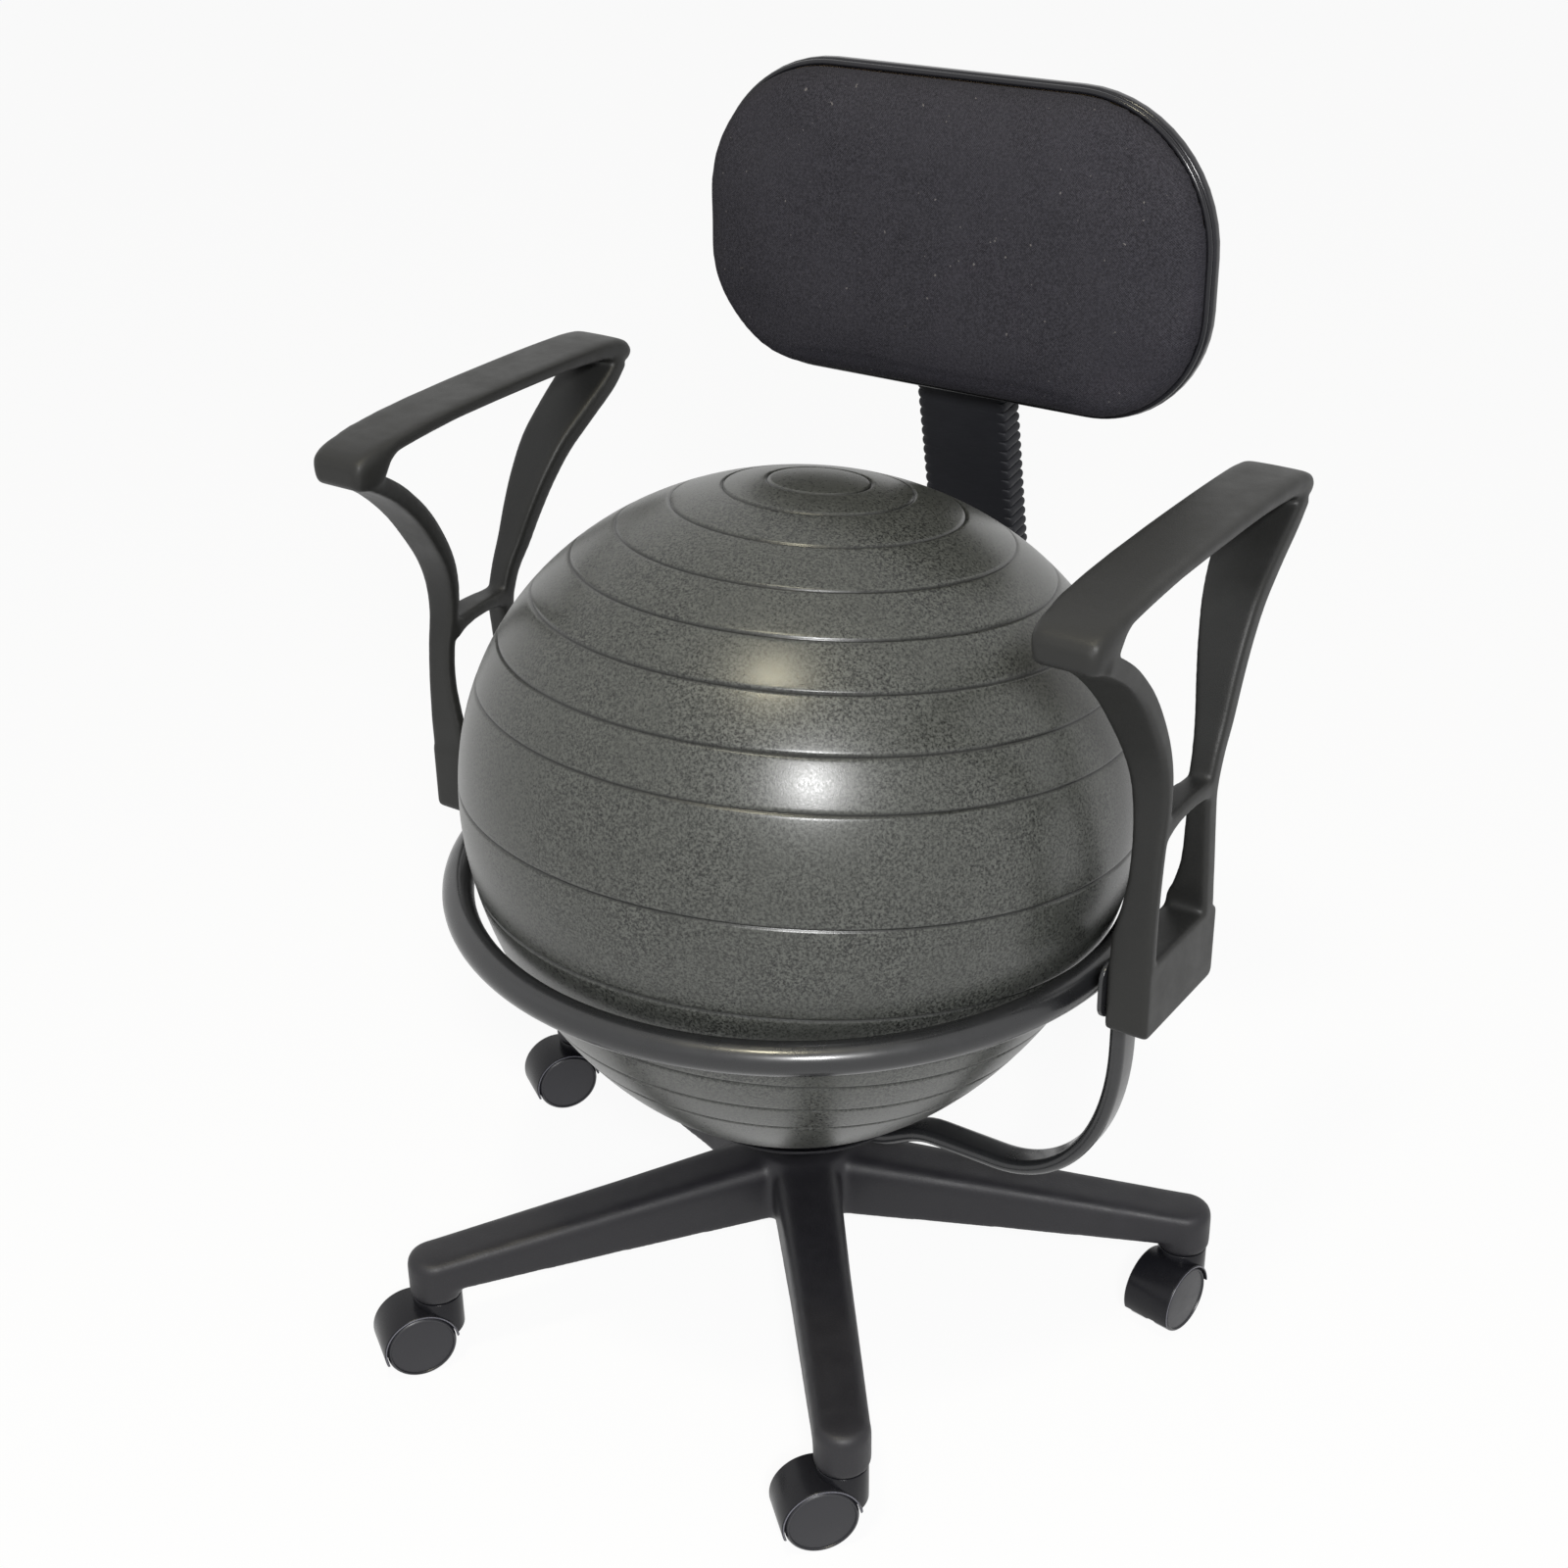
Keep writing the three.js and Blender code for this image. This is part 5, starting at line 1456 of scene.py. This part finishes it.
class CHAIR_OT_bellows(bpy.types.Operator):
    """Ribbed sleeve over the leaning part of the bar, smooth in front"""

    bl_idname = "ball_chair.bellows"
    bl_label = "Bellows"

    def execute(self, context):
        s = context.scene.ball_chair.bar
        lean = math.atan2(bar_foot_y() - s.top_y, s.lean_end_z - s.lean_start_z)
        run = (BELLOWS_Z[1] - BELLOWS_Z[0]) / math.cos(lean)
        cuff = ((0, -BELLOWS_LIP), (BELLOWS_LIP, 0), (BELLOWS_CUFF, 0))
        rings = [self.ring(z, reach) for z, reach in cuff]
        steps = s.ribs * STEPS_PER_RIB
        for i in range(1, steps):
            share = i / steps
            swell = (0.5 - 0.5 * math.cos(share * s.ribs * math.tau)) ** RIB_SHARPNESS
            rings.append(self.ring(BELLOWS_CUFF + share * (run - 2 * BELLOWS_CUFF), s.rib_reach * swell))
        rings += [self.ring(run - z, reach) for z, reach in reversed(cuff)]
        half_x, half_y = s.width / 2 + GAP, s.depth / 2 + GAP
        bar_space = block((-half_x, -half_y, -OVERRUN), (half_x, half_y, run + OVERRUN))
        rise = BELLOWS_Z[0] - s.lean_start_z
        seat = moved(0, bar_foot_y() - rise * math.tan(lean), BELLOWS_Z[0])
        bm = placed(combined(skin(rings), [bar_space]), rotated(lean, "X"), seat)
        new_piece("bellows_sleeve", bm, "soft_boot", "bar_bellows", sharp=60)
        return {"FINISHED"}

    def ring(self, z, reach):
        """One section: ribs stand out at the sides and the rear, and hardly at the front."""
        half_x, half_y = BELLOWS_HALF
        start, fade = RIB_FADE
        points = []
        for u, v in rounded_rectangle(half_x, half_y, BELLOWS_CORNER, 6):
            aside = min(1.0, max(0.0, (abs(u) - start * half_x) / (fade * half_x)))
            grow_x = reach * math.copysign(1, u) * aside
            points.append(Vector((u + grow_x, v + reach * max(0.0, v / half_y), z)))
        return points


# Backrest

CUSHION_Y = (0.163, 0.193)
CUSHION_INSET = 0.0025
CUSHION_CELL = 0.0046
# Each ring of the cushion's blank: its shares of the depth, forward from the rear and inward
CUSHION_RINGS = (
    (0, 0.075), (0.10, 0.02), (0.25, 0.0), (0.45, 0.02), (0.62, 0.08), (0.76, 0.18), (0.86, 0.32),
    (0.91, 0.52), (0.94, 0.8), (0.96, 1.25), (0.975, 1.9),
)
HELD_DEPTH = 0.004
CLOTH_FRAMES = 20
PIPING_INSET = 0.0030
PIPING_CLEARANCE = 0.0002
PIPING_SIDES = 10
SHELL_FRONT = CUSHION_Y[1] + GAP
SHELL_DEPTH = 0.0106
SHELL_LIP = 0.0022
SHELL_EDGE = 0.005
SHELL_WALL = 0.0032
BOARD_DEPTH = 0.0065
BRACKET_Z = 0.729
BRACKET_FRONT = SHELL_FRONT + SHELL_DEPTH + GAP
FLANGE_DEPTH = 0.004
FLANGE_REAR = BRACKET_FRONT + FLANGE_DEPTH
HOUSING_DEPTH = 0.016
HOUSING_REAR = FLANGE_REAR + HOUSING_DEPTH
FLANGE_OUTLINE = (0.056, 0.061, 0.014, 8)
HOUSING_OUTLINE = (0.035, 0.061, 0.006, 6)
FLANGE_RIM = 0.0008
HOUSING_RIM = 0.0025
SLOT_Z = (0.5, 0.9)
SCREW_SPREAD = (0.045, 0.048)
SCREW_RADIUS = 0.003
SCREW_TIP = (0.0006, 0.0008)
SCREW_HEAD = ((0.0055, 0), (0.0055, 0.0011), (0.0047, 0.0022), (0.0032, 0.0028), (0, 0.003))
RECESS = (0.0026, 0.0005, 0.0016, 0.004)
KNOB_Z = 0.700
KNOB_RADIUS = 0.019
KNOB_DEPTH = 0.018
KNOB_LOBES = 5
KNOB_HOLLOW = 0.1
KNOB_RIM = 0.0024
KNOB_SHANK = (0.006, 0.0005)
KNOB_LIFT = 0.0015
KNOB_BORE_RADIUS = 0.0043


def back_ring(s, inset, y, steps=14):
    """The backrest's outline at a depth, with rounder corners at the top."""
    radii = [radius - inset for radius in (s.top_corner, s.top_corner, s.corner, s.corner)]
    outline = rounded_outline(s.width / 2 - inset, s.height / 2 - inset, radii, steps)
    return [Vector((u, y, s.centre_z + v)) for u, v in outline]


def screw_places():
    x, z = SCREW_SPREAD
    return [(u * x, 0, BRACKET_Z + v * z) for u, v in ((-1, -1), (1, -1), (1, 1), (-1, 1))]


def screw_holes(start, end):
    return bores(SCREW_RADIUS + GAP, start, end, TO_Y, screw_places(), 24)


class CHAIR_OT_cushion(bpy.types.Operator):
    """Padded front of the backrest: foam under a stretched woven cover, with piping round it"""

    bl_idname = "ball_chair.cushion"
    bl_label = "Cushion"

    def execute(self, context):
        s = context.scene.ball_chair.back
        depth = CUSHION_Y[1] - CUSHION_Y[0]
        rings = [
            back_ring(s, CUSHION_INSET + inward * depth, CUSHION_Y[1] - along * depth)
            for along, inward in CUSHION_RINGS
        ]
        cover = shown("cover", remeshed(skin(rings), CUSHION_CELL))
        self.inflate(cover, s)
        bm = applied(cover)
        bmesh.ops.subdivide_edges(bm, edges=bm.edges, cuts=1, use_grid_fill=True)
        every_axis = {f"use_axis_{axis}": True for axis in "xyz"}
        bmesh.ops.smooth_vert(bm, verts=bm.verts, factor=0.5, **every_axis)
        cushion = new_piece("cushion_cover", bm, "woven_fabric", "back_cushion", "backrest", sharp=80)
        self.piping(s)
        return {"FINISHED"}

    def inflate(self, cover, s):
        """Cloth under pressure, held along its rear, and no point moved further than the swell."""
        group = cover.vertex_groups.new(name="held")
        rear = [v.index for v in cover.data.vertices if v.co.y > CUSHION_Y[1] - HELD_DEPTH]
        group.add(rear, 1.0, "REPLACE")
        before = [v.co.copy() for v in cover.data.vertices]
        cloth = cover.modifiers.new("cloth", "CLOTH")
        cloth.settings.use_pressure = True
        cloth.settings.uniform_pressure_force = s.pressure
        cloth.settings.effector_weights.gravity = 0
        cloth.settings.vertex_group_mass = "held"
        cloth.settings.quality = 6
        cloth.point_cache.frame_start = 1
        cloth.point_cache.frame_end = CLOTH_FRAMES
        scene = bpy.context.scene
        for number in range(1, CLOTH_FRAMES + 1):
            scene.frame_set(number)
        graph = bpy.context.evaluated_depsgraph_get()
        after = [v.co.copy() for v in cover.evaluated_get(graph).data.vertices]
        cover.modifiers.clear()
        scene.frame_set(1)
        steps = [new - old for old, new in zip(before, after)]
        steps = [step.normalized() * min(step.length, s.swell) for step in steps]
        for _ in range(s.tension):
            steps = self.evened(cover.data.edges, steps)
        for vertex, old, step in zip(cover.data.vertices, before, steps):
            vertex.co = old + step

    def evened(self, edges, steps):
        """Each point's step averaged with those of its neighbours."""
        sums = [step.copy() for step in steps]
        shares = [1] * len(steps)
        for edge in edges:
            a, b = edge.vertices
            sums[a] += steps[b]
            sums[b] += steps[a]
            shares[a] += 1
            shares[b] += 1
        return [total / share for total, share in zip(sums, shares)]

    def piping(self, s):
        """A thin covered cord between the cover and the shell."""
        bm = bmesh.new()
        path = back_ring(s, PIPING_INSET, CUSHION_Y[1] - s.piping - PIPING_CLEARANCE, 24)
        loops = []
        for i, point in enumerate(path):
            out = (path[(i + 1) % len(path)] - path[i - 1]).normalized().cross(BEHIND)
            ring = [bm.verts.new(point + out * u + BEHIND * v) for u, v in circle(s.piping, PIPING_SIDES)]
            loops.append([bm.edges.new(pair) for pair in zip(ring, ring[1:] + ring[:1])])
        for first, second in zip(loops, loops[1:] + loops[:1]):
            bmesh.ops.bridge_loops(bm, edges=first + second)
        bmesh.ops.recalc_face_normals(bm, faces=bm.faces)
        new_piece("cushion_piping", bm, "gloss_shell", None, "backrest", sharp=80)


class CHAIR_OT_back_shell(bpy.types.Operator):
    """Glossy rear shell of the backrest, with its board inside"""

    bl_idname = "ball_chair.back_shell"
    bl_label = "Back Shell"

    def execute(self, context):
        s = context.scene.ball_chair.back
        front, rear = SHELL_FRONT, SHELL_FRONT + SHELL_DEPTH
        rings = [back_ring(s, inward, front + along) for inward, along in rounding(SHELL_LIP, 5)]
        rings += [back_ring(s, along, rear - inward) for inward, along in rounding(SHELL_EDGE, 8)]
        hollow_ends = (front - MOUTH_OVERRUN, front + GAP + BOARD_DEPTH)
        hollow = skin([back_ring(s, SHELL_WALL, y) for y in hollow_ends])
        bm = combined(skin(rings), [hollow, *screw_holes(front, rear + OVERRUN)])
        new_piece("shell_panel", bm, "gloss_shell", "back_shell", "backrest", sharp=40)
        board = skin([back_ring(s, SHELL_WALL + GAP, y) for y in (front, front + BOARD_DEPTH)])
        board = combined(board, screw_holes(front - OVERRUN, rear))
        new_piece("plywood_board", board, "raw_plywood", "back_board", "backrest")
        return {"FINISHED"}


class CHAIR_OT_back_bracket(bpy.types.Operator):
    """Housing that slides on the bar, its four screws and its clamp knob"""

    bl_idname = "ball_chair.back_bracket"
    bl_label = "Back Bracket"

    def execute(self, context):
        self.housing(context.scene.ball_chair.bar)
        for number, (x, _, z) in enumerate(screw_places(), start=1):
            self.screw(number, x, z)
        self.knob()
        return {"FINISHED"}

    def housing(self, bar):
        sunk = FLANGE_DEPTH / 2
        flange = plate(rounded_rectangle(*FLANGE_OUTLINE), FLANGE_DEPTH, FLANGE_RIM, 2)
        body = plate(rounded_rectangle(*HOUSING_OUTLINE), HOUSING_DEPTH + sunk, HOUSING_RIM, 4)
        placed(flange, TO_Y, moved(0, BRACKET_FRONT, BRACKET_Z))
        placed(body, TO_Y, moved(0, FLANGE_REAR - sunk, BRACKET_Z))
        bm = combined(flange, [body], "UNION")
        half_x, half_y = bar.width / 2 + GAP, bar.depth / 2 + GAP
        slot = block((-half_x, bar.top_y - half_y, SLOT_Z[0]), (half_x, bar.top_y + half_y, SLOT_Z[1]))
        hole = placed(rod(KNOB_BORE_RADIUS, bar.top_y, HOUSING_REAR + OVERRUN, 24), TO_Y, moved(0, 0, KNOB_Z))
        bm = combined(bm, [slot, hole, *screw_holes(BRACKET_FRONT - OVERRUN, FLANGE_REAR + OVERRUN)])
        new_piece("slide_housing", bm, "base_nylon", "back_bracket", "backrest", sharp=38)

    def screw(self, number, x, z):
        """A pan-head screw with a cross recess."""
        foot = SHELL_FRONT + GAP - FLANGE_REAR
        inset, rise = SCREW_TIP
        tip = [(0, foot), (SCREW_RADIUS - inset, foot), (SCREW_RADIUS, foot + rise), (SCREW_RADIUS, 0)]
        reach, half, low, high = RECESS
        cross = [block((-u, -v, low), (u, v, high)) for u, v in ((reach, half), (half, reach))]
        bm = combined(turned([*tip, *SCREW_HEAD], 32), cross)
        placed(bm, TO_Y, moved(x, FLANGE_REAR + GAP, z))
        new_piece(f"shell_screw_{number}", bm, "zinc_plate", f"back_screw_{number}", "backrest")

    def knob(self):
        """A five-lobed knob with finger hollows and a domed face."""
        outline = []
        for u, v in circle(KNOB_RADIUS, KNOB_LOBES * 12):
            lobe = 1 - KNOB_HOLLOW + KNOB_HOLLOW * math.cos(KNOB_LOBES * math.atan2(v, u))
            outline.append((u * lobe, v * lobe))
        grip = placed(plate(outline, KNOB_DEPTH, KNOB_RIM, 4), TO_Y, moved(0, KNOB_LIFT))
        reach = HOUSING_REAR - (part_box("back_knob")[0].y - HUB.y)
        inside, tip = KNOB_SHANK
        shank = placed(rod(BOLT_RADIUS, -reach, inside, 28, tip), TO_Y)
        bm = placed(combined(grip, [shank], "UNION"), moved(0, HOUSING_REAR, KNOB_Z))
        new_piece("clamp_grip", bm, "base_nylon", "back_knob", "clamp_knob", sharp=40)


# Stage

CAMERA_FROM_HUB = Vector((0.78866, -1.16981, 1.14014))
LAMP_TARGET = Vector((0, 0, 0.45))
# Each lamp: its place, size and colour
LAMPS = {
    "key": (Vector((1.435, -1.840, 1.837)), 0.38, (1, 1, 1)),
    "top": (Vector((0.282, -1.005, 2.905)), 0.35, (1, 0.93, 0.68)),
    "fill": (Vector((-2.2, -1.6, 2.0)), 1.6, (0.95, 0.97, 1)),
}
FLOOR_RADIUS = 9
FLOOR_GLOW = 0.93


def white_when_seen(shader, lit, seen):
    """Mixes a lit shader with a plain one for rays from the camera, gloss and glass."""
    path = shader.add("ShaderNodeLightPath").outputs
    rays = shader.value("MAXIMUM", path["Is Camera Ray"], path["Is Glossy Ray"])
    rays = shader.value("MAXIMUM", rays, path["Is Transmission Ray"])
    return shader.mix_shaders(rays, lit, seen)


class CHAIR_OT_stage(bpy.types.Operator):
    """Pale floor, soft studio light and the camera"""

    bl_idname = "ball_chair.stage"
    bl_label = "Stage"

    def execute(self, context):
        s = context.scene.ball_chair.stage
        self.world(s)
        self.floor(s)
        self.camera(s)
        for name, (place, size, tint) in LAMPS.items():
            self.lamp(f"{name}_lamp", place, size, getattr(s, f"{name}_power"), tint)
        context.scene.view_settings.view_transform = "Standard"
        return {"FINISHED"}

    def world(self, s):
        world = bpy.data.worlds.new("studio")
        world.use_nodes = True
        bpy.context.scene.world = world
        shader = Shader(world.node_tree)
        lit = world.node_tree.nodes["Background"]
        set_levels(lit, {"Color": (1, 1, 1, 1), "Strength": s.ambient})
        seen = shader.add("ShaderNodeBackground", {"Color": (1, 1, 1, 1), "Strength": 1.0})
        mixed = white_when_seen(shader, lit.outputs["Background"], seen.outputs["Background"])
        shader.link(mixed, world.node_tree.nodes["World Output"].inputs["Surface"])

    def floor(self, s):
        bm = bmesh.new()
        bmesh.ops.create_circle(bm, cap_ends=True, segments=96, radius=FLOOR_RADIUS)
        floor = shown("studio_floor", bm)
        shader = new_material("floor_paper")
        surface = shader.tree.nodes["Principled BSDF"]
        set_levels(surface, {"Base Color": (*s.floor_tint, 1), "Roughness": 0.9, "Specular IOR Level": 0.1})
        glow = shader.add("ShaderNodeEmission", {"Color": (1, 1, 1, 1), "Strength": 1.0})
        paper = surface.outputs["BSDF"]
        glowing = shader.mix_shaders(FLOOR_GLOW, paper, glow.outputs["Emission"])
        mixed = white_when_seen(shader, paper, glowing)
        shader.link(mixed, shader.tree.nodes["Material Output"].inputs["Surface"])
        floor.data.materials.append(bpy.data.materials["floor_paper"])

    def camera(self, s):
        flat = math.cos(s.elevation)
        back = Vector((math.sin(s.azimuth) * flat, -math.cos(s.azimuth) * flat, math.sin(s.elevation)))
        level = Vector((math.cos(s.azimuth), math.sin(s.azimuth), 0))
        rise = back.cross(level)
        right = level * math.cos(s.roll) + rise * math.sin(s.roll)
        up = rise * math.cos(s.roll) - level * math.sin(s.roll)
        data = bpy.data.cameras.new("photo_camera")
        data.lens = s.lens
        data.sensor_width = 36
        data.shift_x = s.shift
        data.clip_end = 50
        camera = bpy.data.objects.new("photo_camera", data)
        camera.matrix_world = Matrix((right, up, back)).transposed().to_4x4()
        camera.location = CAMERA_FROM_HUB + HUB
        bpy.context.scene.collection.objects.link(camera)
        bpy.context.scene.camera = camera

    def lamp(self, name, place, size, power, tint):
        data = bpy.data.lights.new(name, "AREA")
        data.shape = "DISK"
        data.size = size
        data.energy = power
        data.color = tint
        lamp = bpy.data.objects.new(name, data)
        lamp.location = place
        lamp.rotation_euler = (LAMP_TARGET - place).to_track_quat("-Z", "Y").to_euler()
        bpy.context.scene.collection.objects.link(lamp)


BUILD_ORDER = (
    CHAIR_OT_ball, CHAIR_OT_struts, CHAIR_OT_hub, CHAIR_OT_star, CHAIR_OT_casters, CHAIR_OT_axles,
    CHAIR_OT_armrests, CHAIR_OT_arm_fixings, CHAIR_OT_back_bar, CHAIR_OT_bellows, CHAIR_OT_cushion,
    CHAIR_OT_back_shell, CHAIR_OT_back_bracket, CHAIR_OT_stage,
)


class CHAIR_PT_panel(bpy.types.Panel):
    """Lists the chair's pieces and its settings"""

    bl_label = "Ball Chair"
    bl_idname = "CHAIR_PT_panel"
    bl_space_type = "VIEW_3D"
    bl_region_type = "UI"
    bl_category = "Ball Chair"

    def draw(self, context):
        for operator in BUILD_ORDER:
            self.layout.operator(operator.bl_idname)
        for name in SETTINGS:
            group = getattr(context.scene.ball_chair, name)
            column = self.layout.column(align=True)
            column.label(text=name.title())
            for key in group.__annotations__:
                column.prop(group, key)


CLASSES = (*SETTINGS.values(), ChairSettings, *BUILD_ORDER, CHAIR_PT_panel)


def register():
    for item in CLASSES:
        bpy.utils.register_class(item)
    bpy.types.Scene.ball_chair = PointerProperty(type=ChairSettings)


def unregister():
    del bpy.types.Scene.ball_chair
    for item in reversed(CLASSES):
        bpy.utils.unregister_class(item)


def corners(bounds):
    return [list(corner) for corner in bounds]


def main():
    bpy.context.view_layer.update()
    register()
    make_materials()
    for operator in BUILD_ORDER:
        group, name = operator.bl_idname.split(".")
        getattr(getattr(bpy.ops, group), name)()


if __name__ == "__main__":
    main()
